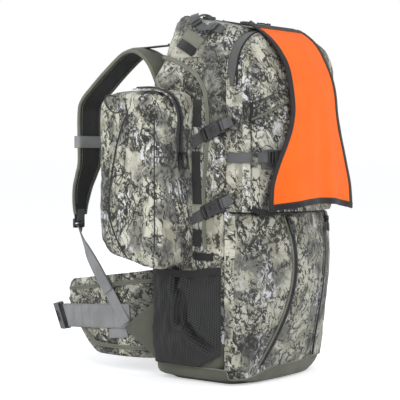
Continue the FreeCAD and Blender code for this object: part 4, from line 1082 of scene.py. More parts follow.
def pocket_details(context):
    """Slanted stash pocket on the upper pocket's face, and the dark gathered band below it."""
    rows, count = [], 30
    for r in range(9):
        v = r / 8
        row = []
        for c in range(count + 1):
            u = c / count
            x = -137.0 + 70.0 * u
            top, foot = 532.0 + 30.0 * u, 498.0 + 38.0 * u
            z = top + (foot - top) * v
            lift = 1.2 + 4.2 * v + crumple(Vector((x, 0, z)), 26, 1.0)
            row.append(pocket_face(upper_sizes, x, z, lift)[0])
        rows.append(row)
    points = flatten(rows)
    piece = make_piece("stash_flap", points, grid_faces(9, count + 1), MATERIALS["camo_gusset"],
                       uvs=grid_uvs(points, 9, count + 1), closed=False)
    face_out(piece, Vector((0, 0, 500)))
    thicken(piece, 1.2)
    foot = [pocket_face(upper_sizes, -137.0 + 70.0 * i / 24, 500.0 + 38.0 * i / 24, 6.4) for i in range(25)]
    sweep("stash_edge", [p for p, _ in foot], [n for _, n in foot], strip_profile(4.0, 2.0), MATERIALS["tape"])
    seam_stitches([p + n * 2.2 for p, n in foot], "thread")
    side = [pocket_face(upper_sizes, -136.0, z, 2.0) for z in range(494, 534, 3)]
    sweep("stash_binding", [p for p, _ in side], [n for _, n in side], strip_profile(7.0, 2.2),
          MATERIALS["binding"])
    ring = []
    for i in range(24):
        a = 2 * math.pi * i / 24
        ring.append(pocket_face(upper_sizes, -124.0 + 8.0 * math.cos(a), 497.0 + 6.5 * math.sin(a), 3.0))
    sweep("stash_loop", [p for p, _ in ring], [n for _, n in ring], round_profile(1.8, 8), MATERIALS["pull"],
          loop=True)
    band = []
    for i in range(31):
        t = i / 30
        x = -142.0 + 46.0 * t
        z = 338.0 - 12.0 * math.sin(math.pi * min(1.0, t * 1.1) * 0.62)
        p, n = pocket_face(upper_sizes, max(x, -137.0), z, 2.4)
        band.append((Vector((x, p.y + (3.0 if x < -137 else 0.0), p.z)), n))
    sweep("gather_band", [p for p, _ in band], [n for _, n in band], strip_profile(10.0, 1.8),
          MATERIALS["elastic"])
    # camo keeper over the front strap
    keeper = [pocket_face(upper_sizes, -131.0, z,
                          4.4 - 3.2 * abs(z - 430) / 17 if abs(z - 430) > 9 else 4.4) for z in range(413, 448, 2)]
    sweep("strap_keeper", [p for p, _ in keeper], [n for _, n in keeper], strip_profile(11.0, 1.4),
          MATERIALS["camo_gusset"])
    for half in (-1, 1):
        edge = [pocket_face(upper_sizes, half * 136.5, z, 1.2) for z in range(int(UPPER_BOTTOM) + 3, 590, 5)]
        sweep("face_piping_" + ("left" if half < 0 else "right"),
              [p + Vector((-half * 0.5, -0.4, 0)) for p, _ in edge],
              [n for _, n in edge], round_profile(1.5, 8), MATERIALS["camo_gusset"])


def face_out(piece, inside):
    """Turns an open shell's faces away from a point inside it."""
    work = bmesh.new()
    work.from_mesh(piece.data)
    work.normal_update()
    score = sum((f.calc_center_median() / MM - inside).dot(f.normal) * f.calc_area() for f in work.faces)
    if score < 0:
        bmesh.ops.reverse_faces(work, faces=work.faces)
    work.to_mesh(piece.data)
    work.free()


def curved_zip_x(z):
    """Distance of the lower pocket's curved zips from the middle at height z."""
    u = (z - 179.0) / 143.0
    return 50.0 + 26.5 * u * u - 11.5 * u


def zip_spot(z, lift=0.0, aside=0.0):
    x = -(curved_zip_x(z) + aside)
    p, n = pocket_face(lower_sizes, x, z)
    return p + n * lift, n


def curved_zips(context):
    """The two curved zips of the lower pocket: tape, coil and a corded olive edge on the outer side."""
    sizes = context.scene.pack_sizes
    levels = [321.0 - (321.0 - 38.0) * i / 60 for i in range(61)]
    for side in ("left", "right"):
        for kind, aside, lift in (("tape", 0.0, 0.9), ("edge", 6.2, 1.0), ("fold", -5.6, 0.9)):
            spots = [zip_spot(z, lift, aside) for z in levels]
            path, ups = [s[0] for s in spots], [s[1] for s in spots]
            if side == "right":
                path, ups = flipped(path), flipped(ups)
            if kind == "tape":
                piece = sweep("curved_zip_" + side, path, ups, strip_profile(10.0, 1.4), MATERIALS["zip"])
                if side == "left":
                    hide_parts("lower_pocket_zips")
                zip_teeth([p + u * 1.8 for p, u in zip(path, ups)])
            elif kind == "edge":
                sweep("curved_piping_" + side, path, ups, round_profile(sizes.piping / MM * 1.25, 8),
                      MATERIALS["tape"])
                seam_stitches([zip_spot(z, 1.6,
                                        9.5)[0] if side == "left" else flipped([zip_spot(z, 1.6, 9.5)[0]])[0]
                               for z in levels], "thread")
            else:
                sweep("curved_fold_" + side, path, ups, strip_profile(3.0, 1.8), MATERIALS["camo_lower"])


# ---------------------------------------------------------------- blaze flap
def flap_half(z):
    if z >= FLAP_WAIST_Z:
        return FLAP_WAIST_HALF + (FLAP_TOP_HALF - FLAP_WAIST_HALF) * (z
                                                                      - FLAP_WAIST_Z) / (FLAP_TOP_Z - FLAP_WAIST_Z) \
            + 9.0 * share(z, 600, 684) + 4.0 * (1 - share(z, 530, 640))
    t = min(1.0, (FLAP_WAIST_Z - z) / (FLAP_WAIST_Z - FLAP_CORNER_Z))
    return 4.0 * (1 - t) + FLAP_WAIST_HALF + (FLAP_FOOT_HALF - FLAP_WAIST_HALF) * t * t * (3 - 2 * t)


def flap_spot(u, v, fold, out=0.0):
    """A point of the flap's cloth: u across from -1 to 1, v down from 0 to 1, with its hanging folds."""
    z = FLAP_TOP_Z + (FLAP_FOOT_Z - FLAP_TOP_Z) * v
    half = flap_half(z)
    x = u * half
    z += FLAP_ARCH * (1 - u * u) * share(v, 0.5, 1.0)
    y = FLAP_TOP_Y + (FLAP_OUT - FLAP_TOP_Y) * (1 - math.exp((z - FLAP_TOP_Z) / FLAP_SHOULDER))
    y += 9.0 * u * u * min(1.0, max(0.0, FLAP_TOP_Z - z) / 60)
    y += 15.0 * share(-u, 0.45, 1.0) ** 1.3 * share(v, 0.5, 0.95)
    hang = share(v, 0.25, 1.0)
    wave = math.sin(u * 7.2 + 1.1 + 0.8 * v) * 0.55 + math.sin(u * 12.5 + 2.2 - 1.5
                                                               * v) * 0.3 + math.sin(u * 3.1 - 0.6) * 0.3
    y += fold * hang * wave * 1.3
    ripple = noise.noise(Vector((x / 42, v * 3.1, 1.7))) * 2.4 + noise.noise(Vector((x / 19, v * 7.0, 5.1))) * 0.9
    y += ripple * share(v, 0.03, 0.2)
    y -= 5.0 * share(u, 0.72, 1.0) * share(v, 0.74, 1.0)
    y = max(y, FLAP_OUT - 9.0)
    return Vector((x, y - out, z))


def flap_normal(u, v, fold):
    e = 0.004
    a = flap_spot(min(1, u + e), v, fold) - flap_spot(max(-1, u - e), v, fold)
    b = flap_spot(u, min(1, v + e), fold) - flap_spot(u, max(0, v - e), fold)
    n = a.cross(b).normalized()
    return n if n.y < 0 else -n


def flap_operator(context):
    fold = context.scene.pack_sizes.flap_fold / MM
    wide, tall = 72, 96
    points = [flap_spot(-1 + 2 * c / wide, r / tall, fold) for r in range(tall + 1) for c in range(wide + 1)]
    faces = grid_faces(tall + 1, wide + 1)
    uvs = grid_uvs(points, tall + 1, wide + 1)
    piece = make_piece("blaze_flap_cloth", points, faces, MATERIALS["blaze"], body="flap",
                       uvs=uvs,
                       closed=False)
    face_out(piece, Vector((0, 0, 500)))
    thicken(piece, 1.0)
    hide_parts("blaze_flap")
    line = [flap_spot(0, r / 60, fold) for r in range(61)]
    # binding folded over each edge, with its own slight unevenness
    runs = {
        "side_left": [(-1, t / 60) for t in range(61)], "side_right": [(1, t / 60) for t in range(61)],
        "foot": [(-1 + 2 * t / 80, 1) for t in range(81)], "top": [(-1 + 2 * t / 60, 0) for t in range(61)],
    }
    for name, line in runs.items():
        width = {"foot": 12.0, "top": 10.0}.get(name, 11.0)
        path, ups = [], []
        for u, v in line:
            inward = 0.5 * width - 1.0
            half = flap_half(FLAP_TOP_Z + (FLAP_FOOT_Z - FLAP_TOP_Z) * v)
            if name.startswith("side"):
                uu, vv = u * (1 - inward / half), v
            else:
                uu, vv = u, (1 - inward / 353 if name == "foot" else inward / 353)
            n = flap_normal(uu, vv, fold)
            path.append(flap_spot(uu, vv, fold) - n * 1.7)
            ups.append(n)
        sweep("flap_binding_" + name, path, ups, strip_profile(width, 2.9), MATERIALS["binding"],
                            body="flap")
        inner = []
        for u, v in line:
            half = flap_half(FLAP_TOP_Z + (FLAP_FOOT_Z - FLAP_TOP_Z) * v)
            uu, vv = (u * (1 - (width - 3.0) / half), v) if name.startswith("side") else \
                (u, (1 - (width - 3.0) / 353 if name == "foot" else (width - 3.0) / 353))
            inner.append(flap_spot(uu, vv, fold) + flap_normal(uu, vv, fold) * 1.5)
        seam_stitches(inner, "thread", "flap")
    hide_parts("blaze_binding")
    # the strip that sews the flap to the lid
    path = [Vector((x, -74.0, lid_z(-74.0) + 1.0)) for x in range(-77, 78, 7)]
    path = [p + Vector((0, 0, crumple(p, 30, 0.6))) for p in path]
    piece = sweep("flap_anchor_strip", path, Vector((0, -0.17, 1)), strip_profile(15.0, 2.6), MATERIALS["binding"])
    lip = [Vector((x, -87.5, 683.6)) for x in range(-76, 77, 4)]
    sweep("flap_anchor_lip", lip, Vector((0, -0.35, 1)), strip_profile(11.0, 2.0), MATERIALS["binding"])
    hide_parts("flap_anchor")


# ---------------------------------------------------------------- side pouches
def pouch_ring(z):
    """The left pouch's plan at height z as an open row of points, from the bag at its front round to its rear."""
    low, high = POUCH_BOX[0].z, POUCH_BOX[1].z
    levels = [(low, 101, -3, 129), (low + 24, 115, -9, 135), (high - 24, 115, -9, 135), (high - 7, 107, -5, 130),
              (high, 91, 5, 119)]
    for (z0, *a), (z1, *b) in zip(levels, levels[1:]):
        if z <= z1:
            t = (z - z0) / (z1 - z0)
            break
    out, y0, y1 = [p + (q - p) * t for p, q in zip(a, b)]
    r, x = 26.0, BAG_HALF + out
    row = []
    back = 152.8
    for i in range(16):
        row.append(Vector((-back + (r - x + back) * i / 15, y0, z)))
    for i in range(1, 7):
        a = math.radians(-90 - 90 * i / 6)
        row.append(Vector((r - x + r * math.cos(a), y0 + r + r * math.sin(a), z)))
    for i in range(1, 20):
        row.append(Vector((-x, y0 + r + (y1 - y0 - 2 * r) * i / 20, z)))
    for i in range(0, 7):
        a = math.radians(180 - 90 * i / 6)
        row.append(Vector((r - x + r * math.cos(a), y1 - r + r * math.sin(a), z)))
    for i in range(1, 12):
        row.append(Vector((r - x + (x - r - back) * i / 11, y1, z)))
    return row


def pouch_floor(x, y):
    """Height of the pouch's floor, which rises towards the rear and towards the bag."""
    return POUCH_BOX[0].z + 36.0 * max(0.0,
                                       (y + 9.0) / 144.0) + 13.0 * share(x, -250, -165) * (1 - share(y, 40, 120))


def pouch_piece(sizes, side):
    low, high = POUCH_BOX[0].z, POUCH_BOX[1].z
    rows = []
    heights = [low + (high - low) * t for t in [i / 44 for i in range(45)]]
    for z in heights:
        row = pouch_ring(z)
        for p in row:
            floor = pouch_floor(p.x, p.y)
            p.z = floor + (high - floor) * (z - low) / (high - low)
        rows.append(row)
    # rounded floor and top, closed towards the middle
    def cap(row, step, sign):
        out = []
        middle = Vector((-(152.8 + 52.0), 63.0, 0))
        for k, rise in step:
            new = []
            for p in row:
                q = Vector((middle.x + (p.x - middle.x) * k, middle.y + (p.y - middle.y) * k, 0))
                q.x = min(q.x, -152.8) if p.x > -153 else q.x
                q.z = (pouch_floor(q.x, q.y) if sign < 0 else row[0].z) + sign * rise
                new.append(q)
            out.append(new)
        return out
    top = cap(rows[-1], [(0.86, 1.5), (0.62, 2.5), (0.3, 3.0), (0.0, 3.0)], 1)
    foot = cap(rows[0], [(0.0, 0.4), (0.4, 0.4), (0.8, 0.2)], -1)
    rows = foot + rows + top
    count, columns = len(rows), len(rows[0])
    seed = 9.0 if side == "left" else 17.0

    def lift(p, r, c):
        hold = share(-p.x, 153, 168)
        v = (p.z - low) / (high - low)
        body = 1.2 + 1.8 * math.sin(math.pi * min(1, max(0, v)))
        tuck = math.exp(-((p.y - 108) / 16.0) ** 2 - ((p.z - 540) / 10.0) ** 2) * 7.0 * share(-p.x, 200, 250)
        seam_z = 388.0 + 2.0 * math.sin(p.y / 20)
        seam = math.exp(-((p.z - seam_z) / 3.2) ** 2) * 1.7
        return (crumple(p, 58, sizes.cloth_crease / MM * 1.15, (1, 1, 0.75),
                        seed) + body) * hold - tuck - seam * hold
    points = raised(flatten(rows), count, columns, lift, toward=Vector((-200, 63, 380)))
    for p in points:
        p.x = max(-271.0, p.x)
    uvs = grid_uvs(points, count, columns)
    if side == "right":
        points = flipped(points)
    piece = make_piece("side_pouch_cloth_" + side, points, grid_faces(count, columns), MATERIALS["camo_pouch"],
                       uvs=uvs, closed=False)
    face_out(piece, Vector((-200 if side == "left" else 200, 63, 380)))
    work = bmesh.new()
    work.from_mesh(piece.data)
    bmesh.ops.remove_doubles(work, verts=work.verts, dist=0.00005)
    work.to_mesh(piece.data)
    work.free()
    thicken(piece, 1.6)
    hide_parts("side_pouch_" + side)
    return rows


def pouch_out(y, z):
    """A point on the left pouch's outer face and the way out there."""
    v = (z - POUCH_BOX[0].z) / (POUCH_BOX[1].z - POUCH_BOX[0].z)
    bulge = 1.2 + 1.8 * math.sin(math.pi * min(1, max(0, v)))
    p = Vector((-265.0, y, z))
    lift = crumple(p, 58, bpy.context.scene.pack_sizes.cloth_crease / MM * 1.15, (1, 1, 0.75), 9.0) + bulge
    return Vector((-max(min(265 + lift, 271.0), 265.0), y, z)), Vector((-1, 0, 0))


def pouch_corner(z, turn, lift=2.2):
    """A point on the pouch's rounded front corner, turn degrees round from its front face, and the way out."""
    a = math.radians(-90 - turn)
    d = Vector((math.cos(a), math.sin(a), 0))
    return Vector((-239.0, 17.0, z)) + d * (26.0 + lift), d


def pouch_front(x, z, lift=2.2):
    return Vector((x, -9.0 - lift, z)), Vector((0, -1, 0))


def pouches_operator(context):
    sizes = context.scene.pack_sizes
    for side in ("left", "right"):
        pouch_piece(sizes, side)
        turn = flipped if side == "right" else (lambda pts: pts)
        # curved seam on the outer face: a dark binding with a fold of the cloth beside it
        marks = [(60, 528), (55, 512), (63, 499), (70, 484), (81, 452), (90, 413), (98, 377), (101, 340),
                 (97, 313),
                 (88, 287), (74, 264), (58, 244)]
        flat = smooth_path([Vector((0, y, z)) for y, z in marks], 60)
        path = [pouch_out(p.y, p.z)[0] + Vector((-0.3, 0, 0)) for p in flat]
        beside = [p + Vector((0.2, 3.6, 0)) for p in path]
        ups = [Vector((-1, 0, 0))] * 60
        sweep("pouch_seam_" + side, turn(path), turn(ups), round_profile(1.5, 8), MATERIALS["seam"])
        sweep("pouch_fold_" + side, turn(beside), turn(ups), strip_profile(4.6, 1.7), MATERIALS["camo_pouch"])
        seam_stitches(turn([p + Vector((-1.6, -3.2, 0)) for p in path]), "thread")
        # the seams that cross on its front corner
        upright = [pouch_corner(z, 46.0, 3.4) for z in range(258, 512, 6)]
        level = [pouch_corner(431.0, a, 3.2) for a in range(46, -1,
                                                            -6)] + [pouch_front(x, 431.0, 3.2)
                                                                    for x in range(-234, -206, 5)]
        for name, run in (("upright", upright), ("level", level)):
            sweep("pouch_%s_seam_%s" % (name, side), turn([p for p, _ in run]), turn([n for _, n in run]),
                  round_profile(1.2, 6), MATERIALS["seam"])
        # the tucked gore of the top corner
        gore = [(112, 543), (103, 547), (84, 545), (66, 538), (57, 520), (70, 516), (86, 514), (99, 520),
                (108, 529)]
        middle = Vector((-267.4, 86.0, 531.0))
        rim = [Vector((-265.6 - 1.4 * share(555 - z, 5, 20), y, z)) for y, z in gore]
        points = [middle] + [middle.lerp(p, 0.6) + Vector((-0.6, 0, 0)) for p in rim] + rim
        n = len(gore)
        faces = [(0, 1 + i, 1 + (i + 1) % n) for i in range(n)]
        faces += [(1 + i, 1 + n + i, 1 + n + (i + 1) % n, 1 + (i + 1) % n) for i in range(n)]
        piece = make_piece("pouch_gore_" + side, turn(points), faces, MATERIALS["camo_side"],
                           closed=False)
        rim_line = smooth_path([rim[i % n] + Vector((-1.0, 0, 0)) for i in range(4, n + 3)], 50)
        sweep("pouch_gore_seam_" + side, turn(rim_line), turn([Vector((-1, 0, 0))] * 50), round_profile(1.2, 6),
              MATERIALS["seam"])
        face_out(piece, Vector((0, 60, 500)))
        thicken(piece, 0.9)
        # zip: up the front face, over its top corner and back over the top
        x_mid = -(BAG_HALF + 48.3)
        marks = [(x_mid, -9, 423), (x_mid, -9, 455), (-198, -9, 486), (-199, -9, 506), (-205, -9, 523),
                 (-216, -8, 538),
                 (-232, -3, 548), (-245, 8, 552.5), (-249, 26, 554), (-249, 46, 554)]
        rises = [(0, -1, 0), (0, -1, 0), (0, -1, 0), (0, -1, 0), (0, -1, 0.15), (-0.1, -0.85, 0.5),
                 (-0.2, -0.5, 0.85),
                 (-0.2, -0.2, 1), (-0.2, 0, 1), (-0.2, 0, 1)]
        count = 90
        smooth = smooth_path([Vector(p) for p in marks], count)
        spread = smooth_path([Vector((i * 40.0, 0, 0)) for i in range(len(rises))], count)
        ups = []
        for p in spread:
            k = min(len(rises) - 2, int(p.x / 40))
            ups.append(Vector(rises[k]).lerp(Vector(rises[k + 1]), p.x / 40 - k).normalized())
        path = [p + u * (2.6 + 2.2 * share(p.z, 462, 500)) for p, u in zip(smooth, ups)]
        tape = sweep("pouch_zip_" + side, turn(path), turn(ups), strip_profile(19.0, 1.6), MATERIALS["zip"])
        zip_teeth(turn([p + u * 1.9 for p, u in zip(path, ups)]), BAG)
        for aside in (-11.6, 11.6):
            lip = []
            for i, (p, u) in enumerate(zip(path, ups)):
                t = (path[min(i + 1, count - 1)] - path[max(i - 1, 0)]).normalized()
                lip.append(p + t.cross(u).normalized() * aside - u * 0.3)
            sweep("pouch_zip_lip_%s_%s" % (side, "in" if aside < 0 else "out"), turn(lip), turn(ups),
                  strip_profile(4.4, 2.2), MATERIALS["camo_pouch"])
        # cord loop on the pull
        loop = [Vector((x_mid + 13.0 + 7.0 * math.cos(a), -17.0, 424.0 + 15.0 * math.sin(a)))
                for a in [2 * math.pi * i / 28 for i in range(28)]]
        sweep("pouch_pull_loop_" + side, turn(loop), turn([Vector((0, -1, 0))] * 28), round_profile(1.9, 8),
              MATERIALS["pull"],
              body="pouch_pull_" + side, loop=True)
    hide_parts("zip_tapes")


# ---------------------------------------------------------------- mesh pockets
def side_way(run):
    """A point on the bare left side, run mm back from the pocket's front edge, and its way out."""
    flat = BAG_REAR - REAR_ROUND - MESH_FRONT
    if run <= flat:
        return Vector((-BAG_HALF, MESH_FRONT + run, 0)), Vector((-1, 0, 0))
    a = (run - flat) / REAR_ROUND
    d = Vector((-math.cos(a), math.sin(a), 0))
    return Vector((REAR_ROUND - BAG_HALF, BAG_REAR - REAR_ROUND, 0)) + d * REAR_ROUND, d


def from_line(run, z, line):
    """Distance of a spot from a bent line of (run, height) points."""
    p = Vector((run, z))
    best = 1e9
    for a, b in zip(line, line[1:]):
        a, b = Vector(a), Vector(b)
        t = min(1.0, max(0.0, (p - a).dot(b - a) / (b - a).length_squared))
        best = min(best, (p - a.lerp(b, t)).length)
    return best


def mesh_spot(run, t, slack):
    """A spot on the mesh pocket, run millimetres from its front edge and at share t of its height."""
    top = MESH_TOP - 1.0 + 5.0 * (1 - share(run, 20, 70)) - 4.0 * math.sin(math.pi * run / MESH_RUN)
    low = MESH_FOOT + 27.0 * (1 - share(run, -10, 62))
    z = low + (top - low) * t
    base, out = side_way(run)
    full = math.sin(math.pi * min(1.0, max(0.0, run / MESH_RUN))) ** 0.55
    reach = 2.0 + full * (17.0 - 8.0 * max(0.0, 1 - t / 0.25) - 4.0 * max(0.0, (t - 0.8) / 0.2))
    free = share(t, 0.0, 0.14) * (1 - share(t, 0.9, 1.0)) * share(run, 2, 20) * share(MESH_RUN - run, 2, 24)
    upright = from_line(run, z, [(94, 216), (97, 180), (92, 150), (90, 116)])
    slant = from_line(run, z, [(84, 172), (78, 140), (74, 116), (52, 92), (22, 70)])
    fold = -1.9 * math.exp(-(upright / 6.0) ** 2) - 1.5 * math.exp(-(slant / 7.0) ** 2)
    fold += 0.75 * math.exp(-((upright - 12) / 6.0) ** 2) + 0.7 * math.exp(-((slant - 14) / 7.0) ** 2)
    small = noise.noise(Vector((run / 16, z / 38, 3.3))) * 0.7 + noise.noise(Vector((run / 7, z / 16, 8.3))) * 0.22
    reach = max(2.6 + 2.0 * share(z, 40, 60), reach + slack * free * (fold + small))
    return base + out * min(reach, 25.0) + Vector((0, 0, z)), out


def mesh_operator(context):
    slack = context.scene.pack_sizes.mesh_slack / MM
    for side in ("left", "right"):
        count, columns = 72, 88
        turn = flipped if side == "right" else (lambda pts: pts)
        rows = [[mesh_spot(MESH_RUN * c / columns, r / count,
                           slack)[0] for c in range(columns + 1)] for r in range(count + 1)]
        points = flatten(rows)
        uvs = grid_uvs(points, count + 1, columns + 1)
        faces = grid_faces(count + 1, columns + 1)
        for f in faces:
            a, b, c, d = [points[i] for i in f]
        piece = make_piece("mesh_pocket_cloth_" + side, turn(points), faces, MATERIALS["mesh"],
                           uvs=uvs,
                           closed=False)
        face_out(piece, Vector((-100 if side == "left" else 100, 0, 120)))
        thicken(piece, 0.8)
        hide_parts("mesh_pocket_" + side)
        path, ups = [], []
        for c in range(columns + 1):
            p = rows[-1][c].copy()
            out = mesh_spot(MESH_RUN * c / columns, 1.0, slack)[1]
            path.append(p + Vector((0, 0, -5.5)) + out * 0.3)
            ups.append(out)
        hem = sweep("mesh_hem_" + side, turn(path), turn(ups), strip_profile(14.0, 2.4), MATERIALS["elastic"])
        if side == "left":
            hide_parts("mesh_hems")
        spots = [side_spot(y, MESH_TOP + 23.5, 0.3) for y in range(-60, -12, 3)]
        path, ups = [p for p, _ in spots], [n for _, n in spots]
        band = sweep("side_band_" + side, turn(path), turn(ups), strip_profile(14.0, 1.8), MATERIALS["elastic"])
        if side == "left":
            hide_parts("side_bands")
        # olive tape down the seam of the side, and dark strips between it and the pouch: dark cloth there, with
        # painted shade of the gap behind the pouch
        seam = smooth_path([Vector((0, y, z)) for y,
                            z in ((82, 626), (48, 616), (12, 600), (-14, 586), (-31, 572), (-42, 545),
                                                           (-46, 494), (-43, 430), (-38, 364), (-39, 300),
                                                           (-41, 258))], 90)
        spots = [side_spot(p.y, p.z, 0.3) for p in seam]
        sweep("side_tape_" + side, turn([p for p, _ in spots]), turn([n for _, n in spots]),
              strip_profile(9.0, 1.5),
              MATERIALS["tape"])
        seam_stitches(turn([p + n * 1.6 + Vector((0, 2.6, 0)) for p, n in spots]), "thread_pale")
        # dark strips: painted shade of the gap behind the pouch, over dark cloth
        for part, low, high in (("foot", 262, 296), ("middle", 342, 442), ("top", 488, 540)):
            spots = [side_spot(-21.0 - 2.0 * math.sin(z / 40), z, 0.1) for z in range(low, high + 1, 4)]
            sweep("side_gap_shade_strip_%s_%s" % (part, side), turn([p for p, _ in spots]), turn([n for _, n in spots]),
                  strip_profile(21.0, 1.0), MATERIALS["seam"])


# ---------------------------------------------------------------- moulded pieces
def frame_of(origin, along, outward):
    """A matrix that puts a piece made along +X with its face to +Z at origin."""
    x = Vector(along).normalized()
    z = Vector(outward)
    z = (z - x * z.dot(x)).normalized()
    y = z.cross(x)
    m = Matrix((x, y, z)).transposed().to_4x4()
    m.translation = Vector(origin)
    return m


def box_loop(x0, x1, y0, y1, cut=0.0):
    """A rectangle with its corners cut off, as a ring of points."""
    c = cut
    if not c:
        return [(x0, y0), (x1, y0), (x1, y1), (x0, y1)]
    return [(x0 + c, y0), (x1 - c, y0), (x1, y0 + c), (x1, y1 - c), (x1 - c, y1), (x0 + c, y1), (x0, y1 - c),
            (x0, y0 + c)]


def moulding(name, slabs, matrix, material, body=BAG, bevel=0.5, mirror=False):
    """A moulded piece from slabs (loops, bottom, top): each an outline, with any holes, given a height."""
    work = bmesh.new()
    for loops, z0, z1 in slabs:
        start = [[(work.verts.new((x, y, z0)), work.verts.new((x, y, z1))) for x, y in loop] for loop in loops]
        flat = [v for ring in start for v in ring]
        for a, b, c in tessellate_polygon([[Vector((x, y, 0)) for x, y in loop] for loop in loops]):
            work.faces.new((flat[a][0], flat[b][0], flat[c][0]))
            work.faces.new((flat[c][1], flat[b][1], flat[a][1]))
        for ring in start:
            for i, (low, high) in enumerate(ring):
                low2, high2 = ring[(i + 1) % len(ring)]
                work.faces.new((low, low2, high2, high))
    bmesh.ops.dissolve_limit(work, angle_limit=0.02, verts=work.verts, edges=work.edges)
    place = Matrix.Scale(MM, 4) @ matrix
    for v in work.verts:
        v.co = place @ v.co
        if mirror:
            v.co.x = -v.co.x
    bmesh.ops.recalc_face_normals(work, faces=work.faces)
    mesh = bpy.data.meshes.new(name)
    work.to_mesh(mesh)
    work.free()
    mesh.materials.append(material)
    piece = bpy.data.objects.new(name, mesh)
    bpy.context.scene.collection.objects.link(piece)
    mod = piece.modifiers.new("Bevel", "BEVEL")
    mod.width, mod.segments, mod.limit_method, mod.angle_limit = bevel * MM, 2, "ANGLE", math.radians(40)
    mesh.shade_smooth()
    mod = piece.modifiers.new("Normals", "WEIGHTED_NORMAL")
    mod.keep_sharp = False
    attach(piece, body)
    return piece


def arch_loop(x0, x1, half0, half1, steps=8, bulge=1.5):
    """An outline that runs from half width half0 to half1 with softly bowed sides."""
    top = []
    for i in range(steps + 1):
        t = i / steps
        top.append((x0 + (x1 - x0) * t, half0 + (half1 - half0) * t + bulge * math.sin(math.pi * t)))
    return [(x, -y) for x, y in top] + [(x, y) for x, y in top[::-1]]


def female_slabs(length=34.0, width=27.0, thick=9.0):
    """Socket half: a bowed shell with side windows, a sunk thumb mark and a ladder bar for its webbing."""
    w, k = width / 2, width / 27.0
    shell = length - 10.5
    window = (4.5, 14.0)
    out = [([arch_loop(0.0, shell, w - 1.0, w - 0.4, 6, 0.6), box_loop(3.5, shell - 4, -w * 0.42, w * 0.42, 2.0)],
            thick - 1.9, thick),
           ([arch_loop(1.0, shell - 1, w - 2.4, w - 2.0, 6, 0.4)], thick - 2.4, thick - 1.6),
           ([arch_loop(0.0, shell, w - 1.0, w - 0.4, 6, 0.6)], 0.0, 1.8),
           ([box_loop(window[1], shell, -w + 0.6, w - 0.6, 1.0)], 1.8, thick - 1.8),
           ([box_loop(0.0, window[0], -w + 1.0, -w + 3.2)], 1.8, thick - 1.8),
           ([box_loop(0.0, window[0], w - 3.2, w - 1.0)], 1.8, thick - 1.8),
           ([box_loop(shell - 1.5, length, -w, w, 1.5), box_loop(shell + 1.5, length - 2.6, -w + 3, w - 3)],
            thick * 0.22, thick * 0.72)]
    for i in range(3):
        x = 6.5 + 3.2 * i * k ** 0.3
        out.append(([box_loop(x, x + 1.2, -w * 0.34, w * 0.34, 0.5)], thick - 2.2, thick - 1.2))
    return out


def male_slabs(length=20.0, width=27.0, thick=9.0):
    """Pronged half: shoulder, grip ribs, two ladder bars, the prongs with their barbs and the middle tongue."""
    w, e = width / 2, -0.5
    out = [([box_loop(e - 6.5, e, -w, w, 1.4)], 0.5, thick - 0.5),
           ([box_loop(e - length, e - 5.5, -w, w, 2.0),
             box_loop(e - length + 2.6, e - length + 6.6, -w + 3, w - 3),
             box_loop(e - length + 9.0, e - length + 12.6, -w + 3, w - 3)], 1.6, thick - 2.2),
           ([box_loop(e - length + 6.8, e - length + 8.8, -w + 2, w - 2)], thick - 2.6, thick - 0.8)]
    for s in (-1, 1):
        y0, y1 = s * (w - 7.2), s * (w - 3.4)
        out.append(([box_loop(-1.5, 11.0, min(y0, y1), max(y0, y1), 0.8)], 2.7, thick - 2.7))
        y0, y1 = s * (w - 6.2), s * (w - 0.9)
        out.append(([box_loop(6.5, 13.4, min(y0, y1), max(y0, y1), 1.2)], 2.7, thick - 2.7))
    out.append(([box_loop(-1.5, 12.0, -1.8, 1.8, 0.6)], 2.9, thick - 2.9))
    for i in range(3):
        out.append(([box_loop(e - 5.6 + 1.8 * i, e - 4.8 + 1.8 * i, -w + 2.5, w - 2.5)], thick - 0.7, thick - 0.1))
    return out


def lock_slabs(width=20.0, length=16.0, thick=6.0):
    """Ladder lock: a frame with two slots, a rounded mid bar and a lifted tail lip."""
    w = width / 2 + 3
    return [([box_loop(0, length, -w, w, 2.0), box_loop(2.6, 5.8, -w + 3, w - 3),
              box_loop(9.6, 12.8, -w + 3, w - 3)],
             0.4, thick - 1.6),
            ([box_loop(5.6, 9.8, -w + 1, w - 1, 0.8)], thick - 2.0, thick - 0.4),
            ([box_loop(length - 3.4, length + 0.0, -w + 2, w - 2, 1.0)], thick - 1.8, thick)]


def slider_slabs():
    """Zip slider: a waisted body and the bridge that its pull hangs from."""
    body = [(0, -2.6), (3, -4.2), (9, -4.5), (15, -2.9), (15, 2.9), (9, 4.5), (3, 4.2), (0, 2.6)]
    return [([body], 0.0, 1.5), ([body], 2.4, 3.9), ([box_loop(2.0, 6.0, -1.4, 1.4)], 1.2, 2.8),
            ([box_loop(3.0, 5.0, -1.4, 1.4, 0.3)], 3.8, 7.6), ([box_loop(10.0, 12.0, -1.4, 1.4, 0.3)], 3.8, 7.6),
            ([box_loop(3.0, 12.0, -1.4, 1.4, 0.5)], 7.0, 8.3)]


def pull_slabs():
    """Zip pull: two arms and a tapered, ribbed plate with a rim."""
    out = [([box_loop(16.0, 33.5, -6.0, 6.0, 1.6), box_loop(26.8, 31.4, -3.4, 3.4, 1.0)], 4.9, 7.3)]
    for s in (-1, 1):
        y = sorted((s * 3.0, s * 5.0))
        out.append(([box_loop(6.6, 17.0, y[0], y[1], 0.5)], 4.9, 6.7))
    out.append(([box_loop(6.7, 8.3, -4.6, 4.6)], 5.1, 6.5))
    for i in range(4):
        out.append(([box_loop(18.6 + 1.9 * i, 19.6 + 1.9 * i, -4.2, 4.2, 0.3)], 7.2, 7.9))
    return out


